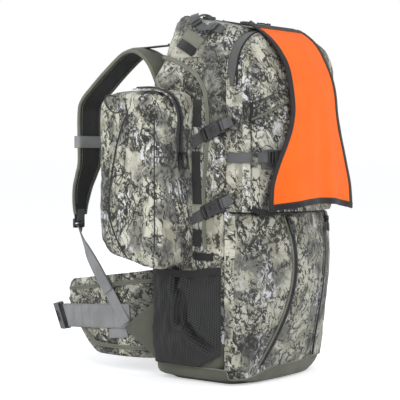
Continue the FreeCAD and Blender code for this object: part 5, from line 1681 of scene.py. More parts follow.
def zips_operator(context):
    curved_zips(context)
    z_top = LOWER_TOP - 10.0
    spot, out = zip_spot(z_top, 2.5)
    foot, _ = zip_spot(z_top - 40.0, 2.5)
    way = (foot - spot).normalized()
    lower = frame_of(spot, way, out)
    pouch = frame_of(Vector((-(BAG_HALF + 48.3), -11.2, 441.0)), (0, 0, -1), (0, -1, 0))
    for side in ("left", "right"):
        mirror = side == "right"
        for kind, place in (("lower", lower), ("pouch", pouch)):
            piece = moulding("%s_zip_slider_%s" % (kind, side), slider_slabs(), place, MATERIALS["slider"],
                             "%s_slider_%s" % (kind, side), 0.35, mirror)
            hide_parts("%s_slider_%s" % (kind, side))
            piece = moulding("%s_zip_pull_%s" % (kind, side), pull_slabs(), place, MATERIALS["pull"],
                             "%s_pull_%s" % (kind, side), 0.4, mirror)
            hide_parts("%s_pull_%s" % (kind, side))


# ---------------------------------------------------------------- compression straps
def straps_operator(context):
    tilt = math.radians(24.0)
    along = Vector((0, -math.cos(tilt), math.sin(tilt)))
    out = Vector((-1, 0, 0))
    web, dark = MATERIALS["dark_webbing"], MATERIALS["buckle"]
    females, webs = [], []
    for level, z_mid in (("upper", 478.0), ("lower", 332.0)):
        mouth = Vector((-BAG_HALF - 1.3, -53.0, z_mid))
        for side in ("left", "right"):
            mirror = side == "right"
            turn = flipped if mirror else (lambda pts: pts)
            place = frame_of(mouth, along, out)
            male = moulding("side_male_half_%s_%s" % (level, side), male_slabs(), place, dark,
                            "clip_%s_%s" % (level, side), mirror=mirror)
            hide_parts("side_male_%s_%s" % (level, side))
            females.append(moulding("side_socket_%s_%s" % (level, side), female_slabs(), place, dark,
                                    mirror=mirror))
            tail = mouth - along * 12.0
            path = []
            for i in range(37):
                s = i / 36
                p = tail - along * (126.0 * s)
                spot, _ = side_spot(p.y, p.z, 0.4)
                hold = share(s, 0.0, 0.14)
                path.append(Vector((mouth.x - 4.2 + (spot.x - mouth.x + 4.2) * hold, p.y, p.z)))
            webs.append(sweep("side_webbing_%s_%s" % (level, side), turn(path), turn([out] * 37),
                              strip_profile(20.0, 1.8), web, body=None))
            near, far = turn([path[16], path[1]])
            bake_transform(webs[-1])
            start = mouth + along * 27.0
            path = []
            for i in range(14):
                s = i / 13
                p = start + along * (25.0 * s)
                spot, _ = side_spot(p.y, p.z, 0.4)
                hold = share(s, 0.25, 0.6)
                path.append(Vector((mouth.x - 3.6 + (spot.x - mouth.x + 3.6) * hold, p.y, p.z)))
            back = [p + out * 2.0 for p in path[::-1]]
            path = [p for p in path] + back
            ups = [out] * len(path)
            sweep("side_tab_%s_%s" % (level, side), turn(path[:14]), turn(ups[:14]), strip_profile(20.0, 2.6), web)
    # front strap over the upper pocket
    z0 = 430.0
    half, gusset, belly = upper_sizes(z0)
    reach = (half * half + (gusset - belly) ** 2) / (2 * (gusset - belly))
    turn_a = math.asin(88.0 / reach)
    normal = Vector((-math.sin(turn_a), -math.cos(turn_a), 0))
    run = Vector((math.cos(turn_a), -math.sin(turn_a), 0))
    mouth = Vector((0, belly + reach, z0)) + normal * (reach + 2.6) - run * 6.0
    place = frame_of(mouth, run, normal)
    male = moulding("front_male_half", male_slabs(), place, dark, "clip_front")
    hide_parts("front_male")
    females.append(moulding("front_socket", female_slabs(), place, dark))
    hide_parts("compression_females")

    first = [Vector((-half - 1.6, y, z0)) for y in (-86, -95, -105, -114)]
    normals = [Vector((-1, 0, 0))] * 4
    a_end = math.asin((mouth.x - run.x * 14.0) / reach)
    for i in range(26):
        a = -math.asin((half - 4.0) / reach) + (a_end + math.asin((half - 4.0) / reach)) * i / 25
        n = Vector((math.sin(a), -math.cos(a), 0))
        lift = 1.4 + 3.4 * share(i, 18, 25)
        first.append(Vector((0, belly + reach, z0)) + n * (reach + lift))
        normals.append(n)
    piece = sweep("front_webbing_left", first, normals, strip_profile(19.0, 1.8), web, body=None)
    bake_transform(piece)
    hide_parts("front_webbing")
    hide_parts("side_webbing")
    second, normals = [], []
    a0 = math.asin((mouth.x + run.x * 27.0) / reach)
    a1 = math.asin((half - 4.0) / reach)
    for i in range(40):
        a = a0 + (a1 - a0) * i / 39
        n = Vector((math.sin(a), -math.cos(a), 0))
        second.append(Vector((0, belly + reach, z0)) + n * (reach + 1.4 + 3.0 * (1 - share(i, 0, 4))))
        normals.append(n)
    second += [Vector((half + 1.6, y, z0)) for y in (-114, -104, -94, -86)]
    normals += [Vector((1, 0, 0))] * 4
    sweep("front_webbing_right", second, normals, strip_profile(19.0, 1.8), web)
    patch, normals = [], []
    for i in range(24):
        x = -120.0 + 64.0 * i / 23
        p, n = pocket_face(upper_sizes, x, 427.0, 0.7)
        patch.append(p)
        normals.append(n)
    sweep("front_patch", patch, normals, strip_profile(36.0, 1.4), MATERIALS["band_cloth"])


# ---------------------------------------------------------------- lid goods
def lid_operator(context):
    y_handle = 78.0
    top = lid_z(y_handle)
    handle = smooth_path([Vector((x, y_handle, top + rise)) for x, rise in
                          ((-27, 1.0), (-24, 4.6), (-13, 9.0), (0, 10.6), (13, 9.0), (24, 4.6), (27, 1.0))], 60)
    ups = []
    for i, p in enumerate(handle):
        t = handle[min(i + 1, 59)] - handle[max(i - 1, 0)]
        ups.append(Vector((-t.z, 0, t.x)).normalized())
    profile = [(3.4 * math.cos(a), 2.1 * math.sin(a)) for a in [math.pi * i / 6 for i in range(12)]]
    piece = sweep("grab_handle_web", handle, ups, profile, MATERIALS["dark_webbing"], body="handle")
    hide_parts("grab_handle")
    tilt = math.atan(32.0 / 183.0)
    up = Vector((0, -math.sin(tilt), math.cos(tilt)))
    for i, x in enumerate((-25.0, 25.0)):
        path = [Vector((x, y, lid_z(y) + 0.8)) for y in (y_handle - 7, y_handle - 2, y_handle + 2, y_handle + 7)]
        piece = sweep("handle_keeper_%d" % i, path, up, strip_profile(13.0, 1.8), MATERIALS["dark_webbing"])
        if i == 0:
            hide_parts("sewn_tabs")
    for side in ("left", "right"):
        mirror = side == "right"
        turn = flipped if mirror else (lambda pts: pts)
        path = [Vector((-62.0, y,
                        lid_z(y) + 0.9 + 1.2 * math.sin((y + 18) / 15.0) ** 2)) for y in range(-18, 80, 4)]
        piece = sweep("lid_strap_" + side, turn(path), turn([up] * len(path)), strip_profile(19.0, 1.8),
                      MATERIALS["dark_webbing"])
        if side == "left":
            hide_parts("lid_straps")
        spot = Vector((-62.0, 30.0, lid_z(30.0) + 2.9))
        moulding("lid_lock_" + side, lock_slabs(), frame_of(spot, (0, -math.cos(tilt), -math.sin(tilt)), up),
                 MATERIALS["buckle"], mirror=mirror)
        # broad tab on the shoulder of the bag with a black loop hanging from it
        for name, ends, width, swell, material, slot in (
                ("shoulder_tab_", ((44, 671), (-4, 645)), 25.0, 2.2, "tape", "olive_cloth"),
                ("shoulder_loop_", ((51, 652), (7, 630)), 19.0, 5.0, "elastic", "grey_webbing")):
            path, ups = [], []
            for i in range(20):
                t = i / 19
                spot, out = side_spot(ends[0][0] + (ends[1][0] - ends[0][0]) * t,
                                      ends[0][1] + (ends[1][1] - ends[0][1]) * t,
                                      1.6 if width < 20 else 0.6)
                path.append(spot + out * swell * math.sin(math.pi * t))
                ups.append(out)
            sweep(name + side, turn(path), turn(ups), strip_profile(width, 2.2), MATERIALS[material])
        # end of the lid strap, turned down over the lid's edge, with its lock
        path = smooth_path([Vector(p) for p in ((-88, 36, 707), (-99, 27, 694), (-105, 18, 686), (-108.5, 0, 678),
                                                (-108.5, -18, 677), (-110.5, -36, 673), (-111.5, -50, 669))], 24)
        ups = [Vector((-0.72, -0.1, 0.68)).normalized()] * 24
        path = [p + u * (1.6 + 2.0 * math.sin(i * 0.7) ** 2) for i, (p, u) in enumerate(zip(path, ups))]
        sweep("lid_strap_end_" + side, turn(path), turn(ups), strip_profile(17.0, 2.2), MATERIALS["dark_webbing"])
        for k in (6, 17):
            moulding("lid_end_lock_%d_%s" % (k, side), lock_slabs(16.0, 13.0, 5.0),
                     frame_of(path[k] + ups[k] * 2.2, path[k + 3] - path[k], ups[k]),
                     MATERIALS["buckle"], mirror=mirror)
    # zip of the lid, a U with its slider at the right
    line = [Vector((41.0, y, 0)) for y in range(-54, 58, 6)]
    for i in range(1, 7):
        a = math.radians(90 * i / 7)
        line.append(Vector((41.0 - 12 + 12 * math.cos(a), 46.0 + 12 * math.sin(a), 0)))
    line = line + [Vector((-p.x, p.y, 0)) for p in line[::-1]]
    line = smooth_path(line, 130)
    path = [Vector((p.x, p.y, lid_z(p.y) + 1.0)) for p in line]
    sweep("lid_zip", path, [up] * 130, strip_profile(10.0, 1.3), MATERIALS["zip"])
    zip_teeth([p + up * 1.7 for p in path])
    spot = Vector((41.0, -54.0, lid_z(-54.0))) + up * 2.4
    back = Vector((0, math.cos(tilt), math.sin(tilt)))
    piece = moulding("lid_zip_slider", slider_slabs() + pull_slabs(), frame_of(spot, back, up),
                     MATERIALS["slider"],
                     "lid_slider", 0.35)
    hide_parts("lid_slider")
    # webbing tab at the foot of the lower pocket
    spots = [pocket_face(lower_sizes, -29.0, z, 1.2) for z in range(33, 50, 2)]
    sweep("foot_tab", [p for p, _ in spots], [n for _, n in spots], strip_profile(10.0, 2.0), MATERIALS["webbing"])


# ---------------------------------------------------------------- shoulder straps
# Inner face of each shoulder pad: across, depth behind the bag, height over its root, width
STRAP_ROOT = 545.0
LEFT_PAD = ((0, 4, 0, 78), (0, 37, 66, 76), (0, 70, 93, 74), (1, 102, 93, 72), (2, 145, 64, 70),
            (4, 188, 27, 70), (6, 215, 0, 70), (8, 221, -28, 67), (8, 221, -120, 67),
            (12, 226, -150, 67), (18, 232, -179, 63), (23, 234, -215, 50), (26, 231, -239, 30))
RIGHT_PAD = ((0, 4, 0, 78), (0, 23, 62, 76), (0, 45, 80, 74), (1, 71, 66, 72), (2, 103, 30, 70),
             (4, 129, -2, 70), (8, 145, -28, 67), (8, 145, -120, 67),
             (10, 143, -150, 67), (14, 138, -179, 63), (18, 131, -215, 50), (20, 125, -239, 30))


def pad_profile(width, thick):
    """Section of a padded strap: a flat inner face, thin edges and a crowned outer face."""
    w = width / 2
    out = []
    for i in range(13):
        a = -1 + 2 * i / 12
        out.append((a * (w - 2.0), 0.8 * abs(a) ** 6))
    out += [(w - 0.4, thick * 0.16), (w, thick * 0.3), (w - 0.4, thick * 0.44)]
    for i in range(13):
        a = 1 - 2 * i / 12
        out.append((a * (w - 2.0), thick * (1 - 0.44 * abs(a) ** 3.5)))
    out += [(-w + 0.4, thick * 0.44), (-w, thick * 0.3), (-w + 0.4, thick * 0.16)]
    return out


def shoulder_operator(context):
    for side, rows, sign in (("left", LEFT_PAD, -1), ("right", RIGHT_PAD, 1)):
        raw = [Vector((sign * (STRAP_X + x), BAG_REAR + back, STRAP_ROOT + z)) for x, back, z, _ in rows]
        count = 110
        path = smooth_path(raw, count)
        widths = [v.x for v in smooth_path([Vector((w, i * 40.0, 0)) for i, (_, _, _, w) in enumerate(rows)],
                                           count)]
        path[0] = path[0] + Vector((0, 1.0, 0))
        normals = []
        for i in range(count):
            t = path[min(i + 1, count - 1)] - path[max(i - 1, 0)]
            normals.append(Vector((1, 0, 0)).cross(t).normalized())
        size = len(pad_profile(72, 12))
        points, marks = [], []
        for i, (p, n, w) in enumerate(zip(path, normals, widths)):
            end = 1.0 if i < count - 4 else (0.94, 0.84, 0.66, 0.4)[i - count + 4]
            thick = 11.4 * (1.0 if i < count - 4 else (0.94, 0.82, 0.66, 0.45)[i - count + 4])
            for a, b in pad_profile(w * end, thick):
                q = p + Vector((1, 0, 0)) * a * sign + n * b
                q += n * crumple(q, 30, 1.5, (0.6, 1, 1),
                                 4.0) * (0.7 if b > thick / 2 else 1.0) * share(w / 2 - abs(a), 2, 9)
                if side == "left" and b < thick / 2:
                    q += n * 2.2 * math.exp(-((i - 63.5) / 1.4) ** 2) * share(w / 2 - abs(a), 2, 12)
                points.append(q)
        faces = grid_faces(count, size, ring=True)
        for f in range(len(faces)):
            c = f % size
            marks.append(1 if c < 12 and f // size > 0.22 * count else 0)
        faces += [tuple(range(size))[::-1], tuple(range((count - 1) * size, count * size))]
        marks += [0, 0]
        piece = make_piece("shoulder_strap_" + side, points, faces, [MATERIALS["olive"], MATERIALS["spacer"]],
                           marks=marks)
        soften(piece)
        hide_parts("shoulder_pad_" + side)
        for edge in (-1, 1):
            line = [p + Vector((edge * (w / 2 + 0.2), 0, 0)) + n * 0.2 for p, n, w in zip(path, normals, widths)]
            lip = [(-2.6, -0.9), (0.6, -0.6), (1.2, 1.6), (1.2, 3.6), (0.6, 5.8), (-2.6, 6.6)]
            lip = lip if edge > 0 else [(-a, b) for a, b in lip][::-1]
            sweep("strap_binding_%s_%s" % (side, "in" if edge * sign < 0 else "out"), line[1:-1], normals[1:-1],
                  lip,
                  MATERIALS["tape"])
            seam_stitches([p + Vector((edge * (w / 2 - 7.0), 0, 0)) - n * 0.2 for p, n,
                           w in zip(path, normals, widths)][24:-6], "thread_pale")
        # lock at the strap's tip
        tip = raw[-1]
        hold = smooth_path([tip + Vector((0, 2.0, 16)), tip + Vector((0, 2.4, 4)), tip + Vector((0, 3.4, -7)),
                            tip + Vector((0, 7.4, -7)), tip + Vector((0, 9.4, 4)), tip + Vector((0, 9.6, 16))], 30)
        sweep("tip_loop_" + side, hold,
              [Vector((0, -1, 0)).lerp(Vector((0, 1, 0)), share(i, 11, 18)) + Vector((0, 0, -0.9)) *
                                         math.exp(-((i - 14.5) / 3.0) ** 2) for i in range(30)],
              strip_profile(22.0, 1.6), MATERIALS["dark_webbing"])
        moulding("tip_lock_" + side, lock_slabs(25.0, 20.0, 7.0),
                 frame_of(Vector((tip.x, tip.y + 5.0, tip.z - 3.5)), (0, 0, -1), (0, 1, 0)), MATERIALS["buckle"])
        # load lifter, from its lock on the bag to the top of the pad
        x = sign * STRAP_X
        apex = max(p.z for p in raw)
        rest = [p for p in raw if p.z > apex - 2]
        landing = Vector((x, rest[0].y - 2.0, apex + 12.5))
        anchor = Vector((x, bag_rear_at(650) + 0.3, 651.0))
        toward = (landing - anchor).normalized()
        up = Vector((1, 0, 0)).cross(toward)
        up = up if up.z > 0 else -up
        lock = moulding("lifter_lock_" + side, lock_slabs(), frame_of(anchor, toward, up), MATERIALS["buckle"])
        if side == "left":
            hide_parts("ladder_locks")
        start = anchor + toward * 9.0 + up * 2.0
        far = Vector((x, rest[-1].y + 1.0, landing.z))
        line = smooth_path([start, start.lerp(landing, 0.5) + Vector((0, 0, 0.8)), landing + Vector((0, 0, 1.0)),
                            far + Vector((0, 2, 0.8))], 30)
        ups = [up.lerp(Vector((0, 0, 1)), share(i, 8, 22)) for i in range(30)]
        piece = sweep("load_lifter_" + side, line, ups, strip_profile(20.0, 2.0), MATERIALS["dark_webbing"])
        if side == "left":
            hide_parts("load_lifters")
    # back pads and lumbar pad
    for name, x0, x1, z0, z1, y0, thick in (("back_pad_left", -100, -25, WING_TOP + 40, STRAP_ROOT - 8, 104.6,
                                             16.0),
                                            ("back_pad_right", 25, 100, WING_TOP + 40, STRAP_ROOT - 8, 104.6,
                                             16.0),
                                            ("lumbar_cushion", -101, 101, 55, WING_TOP + 20, 104.6, 22.4)):
        rows = []
        for k in range(41):
            z = z0 + (z1 - z0) * k / 40
            for i in range(33):
                a = -1 + 2 * i / 32
                b = -1 + 2 * k / 40
                x = (x0 + x1) / 2 + (x1 - x0) / 2 * a
                edge = (1 - abs(a) ** 5) * (1 - abs(b) ** 7)
                if name != "lumbar_cushion":
                    channel = 1 - 0.3 * math.exp(-((b * 3 % 2) - 1) ** 2 / 0.02)
                else:
                    channel = 1 - 0.3 * math.exp(-(a * 9) ** 2)
                rows.append(Vector((x, y0 + 3.0 + (thick - 3.0) * max(0.0, edge) ** 0.5 * channel, z)))
        size = 33 * 41
        back = [Vector((p.x, y0, p.z)) for p in rows]
        faces = [f[::-1] for f in grid_faces(41, 33)] + grid_faces(41, 33, start=size)
        rim = list(range(33)) + [r * 33 + 32 for r in range(1, 41)] + list(range(size - 2, size - 34, -1)) + \
            [r * 33 for r in range(39, 0, -1)]
        for i, a in enumerate(rim):
            b = rim[(i + 1) % len(rim)]
            faces.append((a, b, b + size, a + size))
        piece = make_piece(name, rows + back, faces, MATERIALS["spacer"])
        if name == "back_pad_left":
            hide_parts("back_pads")
        if name == "lumbar_cushion":
            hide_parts("lumbar_pad")
    sternum_pieces()


def sternum_pieces():
    """Webbing loops round the two pads, the chest webbing and its buckle."""
    z0, x = STERNUM_Z, STRAP_X + 8.0
    ends = []
    for side, sign, back in (("left", -1, 221.0), ("right", 1, 145.0)):
        inner = BAG_REAR + back
        ring = []
        for i in range(60):
            a = 2 * math.pi * i / 60
            u, v = math.cos(a), math.sin(a)
            k = (abs(u) ** 9 + abs(v) ** 9) ** (-1 / 9)
            ring.append(Vector((sign * x + 35.3 * u * k, inner + 6.2 + 7.4 * v * k, z0)))
        ups = [(p - Vector((sign * x, inner + 6.2, z0))) for p in ring]
        ups = [Vector((u.x / 35.3 ** 2, u.y / 7.4 ** 2, 0)).normalized() for u in ups]
        piece = sweep("chest_loop_" + side, ring, ups, strip_profile(25.0, 1.7), MATERIALS["webbing"],
                      body="sternum",
                      loop=True)
        if side == "left":
            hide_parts("sternum_loops")
        ends.append(Vector((sign * (x - 36.3), inner + 10.0, z0)))
    left, right = ends
    along = (right - left).normalized()
    out = Vector((0, 0, 1)).cross(along)
    out = out if out.y > 0 else -out
    mouth = left + along * ((right - left).length / 2 + 6.0)
    place = frame_of(mouth, -along, out)
    piece = moulding("chest_socket", female_slabs(), place, MATERIALS["buckle"], body="sternum")
    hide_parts("sternum_female")
    piece = moulding("chest_male_half", male_slabs(), place, MATERIALS["buckle"], body="clip_sternum")
    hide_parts("sternum_male")
    lift = out * 3.6
    for name, a, b in (("near", left - along * 1.0, mouth - along * 28.0),
                       ("far", mouth + along * 12.0, right + along * 1.0)):
        line = [a.lerp(b, i / 11) + lift - out * 2.2 * math.sin(math.pi * i / 11) for i in range(12)]
        piece = sweep("chest_webbing_" + name, line, out, strip_profile(21.0, 1.8), MATERIALS["dark_webbing"],
                      body="sternum" if name == "near" else None)
        if name == "far":
            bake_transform(piece)
        if name == "near":
            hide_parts("sternum_webs")


# ---------------------------------------------------------------- hip belt
def wing_centre(u):
    bow = WING_BOW * math.sin(math.pi * min(1.0, max(0.0, u)) ** 0.6)
    return Vector((-WING_ROOT_X - bow, WING_ROOT_Y + WING_LENGTH * u, 0))


def wing_spot(t, z, out=0.0):
    """A point over the left hip wing's outer face and the way out there."""
    ahead = (wing_centre(min(1.0, t + 0.02)) - wing_centre(max(0.0, t - 0.02))).normalized()
    normal = Vector((-ahead.y, ahead.x, 0))
    p = wing_centre(t) + normal * (WING_THICK / 2 + out)
    return Vector((p.x, p.y, z)), normal


def wing_edges(t):
    """Lower and upper edge of the hip wing at share t of its length."""
    rise = 0.54 * (WING_TOP - WING_BOTTOM) * max(0.0, (t - 0.55) / 0.45) ** 1.6
    return WING_BOTTOM + rise, WING_TOP - WING_FALL * t


def belt_operator(context):
    for side in ("left", "right"):
        mirror = side == "right"
        turn = flipped if mirror else (lambda pts: pts)
        body = "wing_" + side
        count, size = 57, 44
        points, marks = [], []
        for i in range(count):
            t = i / (count - 1)
            low, high = wing_edges(t)
            near = share(t, 0.93, 1.0)
            high -= 13.0 * near ** 2
            low += 5.0 * near ** 2
            for k in range(size):
                a = 2 * math.pi * k / size
                u, v = math.cos(a), math.sin(a)
                q = (abs(u) ** 3.2 + abs(v) ** 6) ** (-1 / 4.2)
                z = (low + high) / 2 + (high - low) / 2 * min(1.0, abs(v * q)) * (1 if v > 0 else -1)
                d = WING_THICK / 2 * min(1.0, abs(u * q)) * (1 if u > 0 else -1)
                p, n = wing_spot(t, z, d - WING_THICK / 2)
                if u > 0.2:
                    seam = math.exp(-((z - high + 20) / 3.0) ** 2) + math.exp(-((z - low - 20) / 3.0) ** 2)
                    p += n * (crumple(p, 36, 1.4, seed=2.0) - 1.2 * seam)
                points.append(p)
        if mirror:
            points = flipped(points)
        faces = grid_faces(count, size, ring=True)
        marks = [1 if 12 <= (f % size) < 32 else 0 for f in range(len(faces))] + [0, 0]
        faces += [tuple(range(size))[::-1], tuple(range((count - 1) * size, count * size))]
        piece = make_piece("hip_wing_cushion_" + side, points, faces,
                           [MATERIALS["camo_wing"], MATERIALS["spacer"]],
                           body=body, marks=marks)
        soften(piece)
        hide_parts("hip_wing_" + side)
        for name, edge, gap in (("top", 1, 20.0), ("foot", -1, 19.0)):
            line, ups = [], []
            for i in range(60):
                t = 0.02 + 0.955 * i / 59
                low, high = wing_edges(t)
                p, n = wing_spot(t, high - gap if edge > 0 else low + gap, 0.3)
                line.append(p)
                ups.append(n)
            sweep("wing_tape_%s_%s" % (name, side), turn(line), turn(ups), strip_profile(8.0, 1.8),
                  MATERIALS["tape"],
                  body=body)
            seam_stitches(turn([p + n * 2.0 for p, n in zip(line, ups)]), "thread", body)
        # belt webbing, sewn down so that it stands up in loops
        line, ups = [], []
        bars = (0.2, 0.36, 0.52, 0.66, 0.78, 0.89, 1.0)
        for i in range(170):
            t = 0.2 + 0.79 * i / 169
            p, n = wing_spot(t, BELT_Z - BELT_FALL * t, 0.0)
            k = max(j for j in range(len(bars) - 1) if bars[j] <= t)
            part = (t - bars[k]) / (bars[k + 1] - bars[k])
            loop = math.sin(math.pi * part) ** 0.6 * (4.6 if k in (2, 4) else 3.0)
            line.append(p + n * (0.5 + loop))
            ups.append(n)
        tip, n = wing_spot(1.0, BELT_Z - BELT_FALL, 0.4)
        bend = Vector((0.38, 0.92, -0.1)).normalized()
        lean = Vector((-0.18, 0.23, 0.956)).normalized()
        for s in (3.0, 6.0, 9.0, 12.5):
            line.append(tip + bend * s)
            ups.append(n.lerp(lean.cross(bend), s / 12.5).normalized())
        piece = sweep("belt_webbing_" + side, turn(line), turn(ups), strip_profile(BELT_WIDE, 1.9),
                      MATERIALS["webbing"],
                      body=body)
        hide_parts("belt_web_" + side)
        for t in bars[1:-1]:
            p, n = wing_spot(t, 0, 2.6)
            z = BELT_Z - BELT_FALL * t
            seam_stitches(turn([Vector((p.x, p.y, z + dz)) + n * 0.4 for dz in range(-23, 24, 2)]), "thread_pale",
                          body)
        # loose end of a second webbing under the first
        path, ups = [], []
        for i in range(16):
            p, n = wing_spot(0.42 - 0.2 * i / 15, BELT_Z - BELT_FALL * 0.35 - 37.0 + 6.0 * i / 15,
                             0.6 + 1.2 * math.sin(i / 5))
            path.append(p)
            ups.append(n)
        sweep("belt_tail_" + side, turn(path), turn(ups), strip_profile(20.0, 1.8), MATERIALS["webbing"],
              body=body)
        end = tip + bend * 12.0
        along = Vector((0.5, 0.87, -0.115)).normalized()
        out = lean.cross(along).normalized()
        spot = end + along * 0.6 - out * 5.0
        if side == "left":
            place = frame_of(spot + along * 46.0, -along, out)
            piece = moulding("belt_socket", female_slabs(46.0, 58.0, 13.0), place, MATERIALS["buckle"], body=body,
                             bevel=0.8)
            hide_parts("belt_female")
        else:
            place = frame_of(spot + along * 28.5, along, out)
            piece = moulding("belt_male_half", male_slabs(28.0, 58.0, 13.0), place, MATERIALS["buckle"], body=body,
                             bevel=0.8, mirror=True)
            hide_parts("belt_male")
        # stabiliser triangle of plain cloth, from the bag's rear corner to the wing
        skin = -(WING_ROOT_X + WING_BOW + WING_THICK / 2 + 3.6)
        middle = BELT_Z - BELT_FALL * 0.2
        apex = Vector((skin - 1.2, WING_ROOT_Y + 56.0, middle - 24.0))
        top = Vector((-138.1, 88.1, BELT_Z + 36.0))
        foot = Vector((-138.1, 88.1, WING_BOTTOM + 2.0))
        points = []
        for r in range(25):
            t = r / 24
            for c in range(25):
                s = c / 24
                p = top.lerp(foot, s).lerp(apex, t ** 0.9 * 0.985)
                p.x -= 1.0 + 2.2 * math.sin(math.pi * t) * (0.6 + 0.5 * math.sin(9 * s + 2 * t))
                points.append(p)
        uvs = grid_uvs(points, 25, 25)
        points = turn(points)
        piece = make_piece("stabiliser_" + side, points, grid_faces(25, 25), MATERIALS["olive"], body=None,
                           uvs=uvs, closed=False)
        face_out(piece, Vector((0, 100, 80)))
        thicken(piece, 1.1)
        near, far = turn([top.lerp(foot, 0.5), apex])
        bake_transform(piece)
        if side == "left":
            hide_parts("stabilizers")
        adjuster_pieces(side, skin, turn, middle)


def adjuster_pieces(side, skin, turn, middle):
    """Webbing from the lock at the strap's tip down to the hip wing, doubled with its cut end over it."""
    rows = LEFT_PAD if side == "left" else RIGHT_PAD
    x, back, z, _ = rows[-1]
    tip = Vector((-(STRAP_X + x), BAG_REAR + back, STRAP_ROOT + z))
    top = Vector((tip.x, tip.y + 6.0, tip.z - 23.8))
    cross = Vector((skin, top.y - 88.0 if side == "left" else WING_ROOT_Y + 62.0, WING_TOP + 6.0))
    foot = Vector((skin, WING_ROOT_Y + 52.0, middle - 16.0))
    marks = [tip + Vector((0, 5.5, -14.0)), top, (top + cross) / 2 + Vector((-3, 0, 0)), cross,
             cross.lerp(foot, 0.5), foot]
    line = smooth_path(marks, 80)
    ups = [Vector((0, 1, 0.3)).lerp(Vector((-1, 0, 0)), share(i, 10, 46)).normalized() for i in range(80)]
    near, far = turn([top, cross.lerp(foot, 0.35)])
    for name, path, lift in (("adjuster_webbing_", line, 0.0), ("adjuster_tail_", line[5:58], 2.3)):
        n = ups[5:58] if lift else ups
        shifted = [p + u * lift * share(i, 0, 8) for i, (p, u) in enumerate(zip(path, n))]
        piece = sweep(name + side, turn(shifted), turn(n), strip_profile(25.0, 1.9), MATERIALS["webbing"],
                      body=None)
        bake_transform(piece)
        if side == "left" and not lift:
            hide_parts("adjuster_webs")


# ---------------------------------------------------------------- what the CAD frame keeps showing
def frame_operator(context):
    dress("frame_stays", MATERIALS["stay"])


# ---------------------------------------------------------------- stage
def stage_operator(context):
    scene = context.scene
    scene.view_settings.view_transform = "Standard"
    world = bpy.data.worlds.new("studio")
    scene.world = world
    world.use_nodes = True
    tree = world.node_tree
    tree.nodes.clear()
    rays = add_node(tree, "ShaderNodeLightPath")
    seen = math_node(tree, "MAXIMUM", rays.outputs["Is Camera Ray"],
                     math_node(tree, "MAXIMUM", rays.outputs["Is Glossy Ray"],
                               rays.outputs["Is Transmission Ray"]))
    soft = add_node(tree, "ShaderNodeBackground", {"Color": (0.92, 0.95, 1.0, 1), "Strength": 0.62})
    white = add_node(tree, "ShaderNodeBackground", {"Color": (1, 1, 1, 1), "Strength": 1.0})
    mix = add_node(tree, "ShaderNodeMixShader", links={0: seen, 1: soft.outputs[0], 2: white.outputs[0]})
    add_node(tree, "ShaderNodeOutputWorld", links={0: mix.outputs[0]})
    mat, tree, shader = new_material("studio_floor")
    shader.inputs["Base Color"].default_value = (0.9, 0.9, 0.9, 1)
    shader.inputs["Roughness"].default_value = 0.9
    rays = add_node(tree, "ShaderNodeLightPath")
    shader.inputs["Emission Color"].default_value = (1, 1, 1, 1)
    glow = math_node(tree, "MULTIPLY", rays.outputs["Is Camera Ray"], 0.42)
    tree.links.new(glow, shader.inputs["Emission Strength"])
    mesh = bpy.data.meshes.new("studio_floor")
    reach = 60.0
    mesh.from_pydata([(-reach, -reach, 0), (reach, -reach, 0), (reach, reach, 0), (-reach, reach, 0)], [],
                     [(0, 1, 2, 3)])
    mesh.materials.append(mat)
    floor = bpy.data.objects.new("studio_floor", mesh)
    scene.collection.objects.link(floor)
    for name, spot, size, power in (("key", (-2.2, -3.0, 2.6), 2.4, 62.0), ("fill", (1.8, -2.6, 1.2), 2.2, 30.0),
                                    ("side", (-3.2, 0.9, 1.4), 2.0, 30.0), ("rear", (0.8, 2.8, 2.4), 1.8, 22.0)):
        lamp = bpy.data.lights.new(name, "AREA")
        lamp.shape, lamp.size, lamp.energy = "DISK", size, power
        place = bpy.data.objects.new(name, lamp)
        place.location = spot
        place.rotation_euler = (Vector((0, 0, 0.34)) - Vector(spot)).to_track_quat("-Z", "Y").to_euler()
        scene.collection.objects.link(place)
    camera = bpy.data.cameras.new("camera")
    camera.lens, camera.sensor_width = 117.0, 36.0
    view = bpy.data.objects.new("camera", camera)
    azimuth, rise, distance = math.radians(308.0), math.radians(2.0), 2.6
    back = Vector((math.sin(azimuth) * math.cos(rise), -math.cos(azimuth) * math.cos(rise), math.sin(rise)))
    view.location = Vector((-0.045, 0.058, 0.345)) + back * distance
    view.rotation_euler = (-back).to_track_quat("-Z", "Y").to_euler()
    scene.collection.objects.link(view)
    scene.camera = view


# ---------------------------------------------------------------- the add-on's operators and panel
class BACKPACK_OT_materials(bpy.types.Operator):
    """Make the pack's materials from its colours"""
    bl_idname = "backpack.materials"
    bl_label = "Cloths and plastics"

    def execute(self, context):
        make_materials(context)
        return {"FINISHED"}


class BACKPACK_OT_stage(bpy.types.Operator):
    """Make the floor, lights and camera"""
    bl_idname = "backpack.stage"
    bl_label = "Studio"

    def execute(self, context):
        stage_operator(context)
        return {"FINISHED"}


class BACKPACK_OT_bag(bpy.types.Operator):
    """Make the cloth of the bag, its lid and its boot"""
    bl_idname = "backpack.bag"
    bl_label = "Bag, lid and boot"

    def execute(self, context):
        bag_operator(context)
        return {"FINISHED"}


class BACKPACK_OT_pockets(bpy.types.Operator):
    """Make the two front pockets and the arched band"""
    bl_idname = "backpack.pockets"
    bl_label = "Front pockets"

    def execute(self, context):
        pockets_operator(context)
        return {"FINISHED"}


class BACKPACK_OT_flap(bpy.types.Operator):
    """Make the hanging flap, its binding and its anchor"""
    bl_idname = "backpack.flap"
    bl_label = "Blaze flap"

    def execute(self, context):
        flap_operator(context)
        return {"FINISHED"}


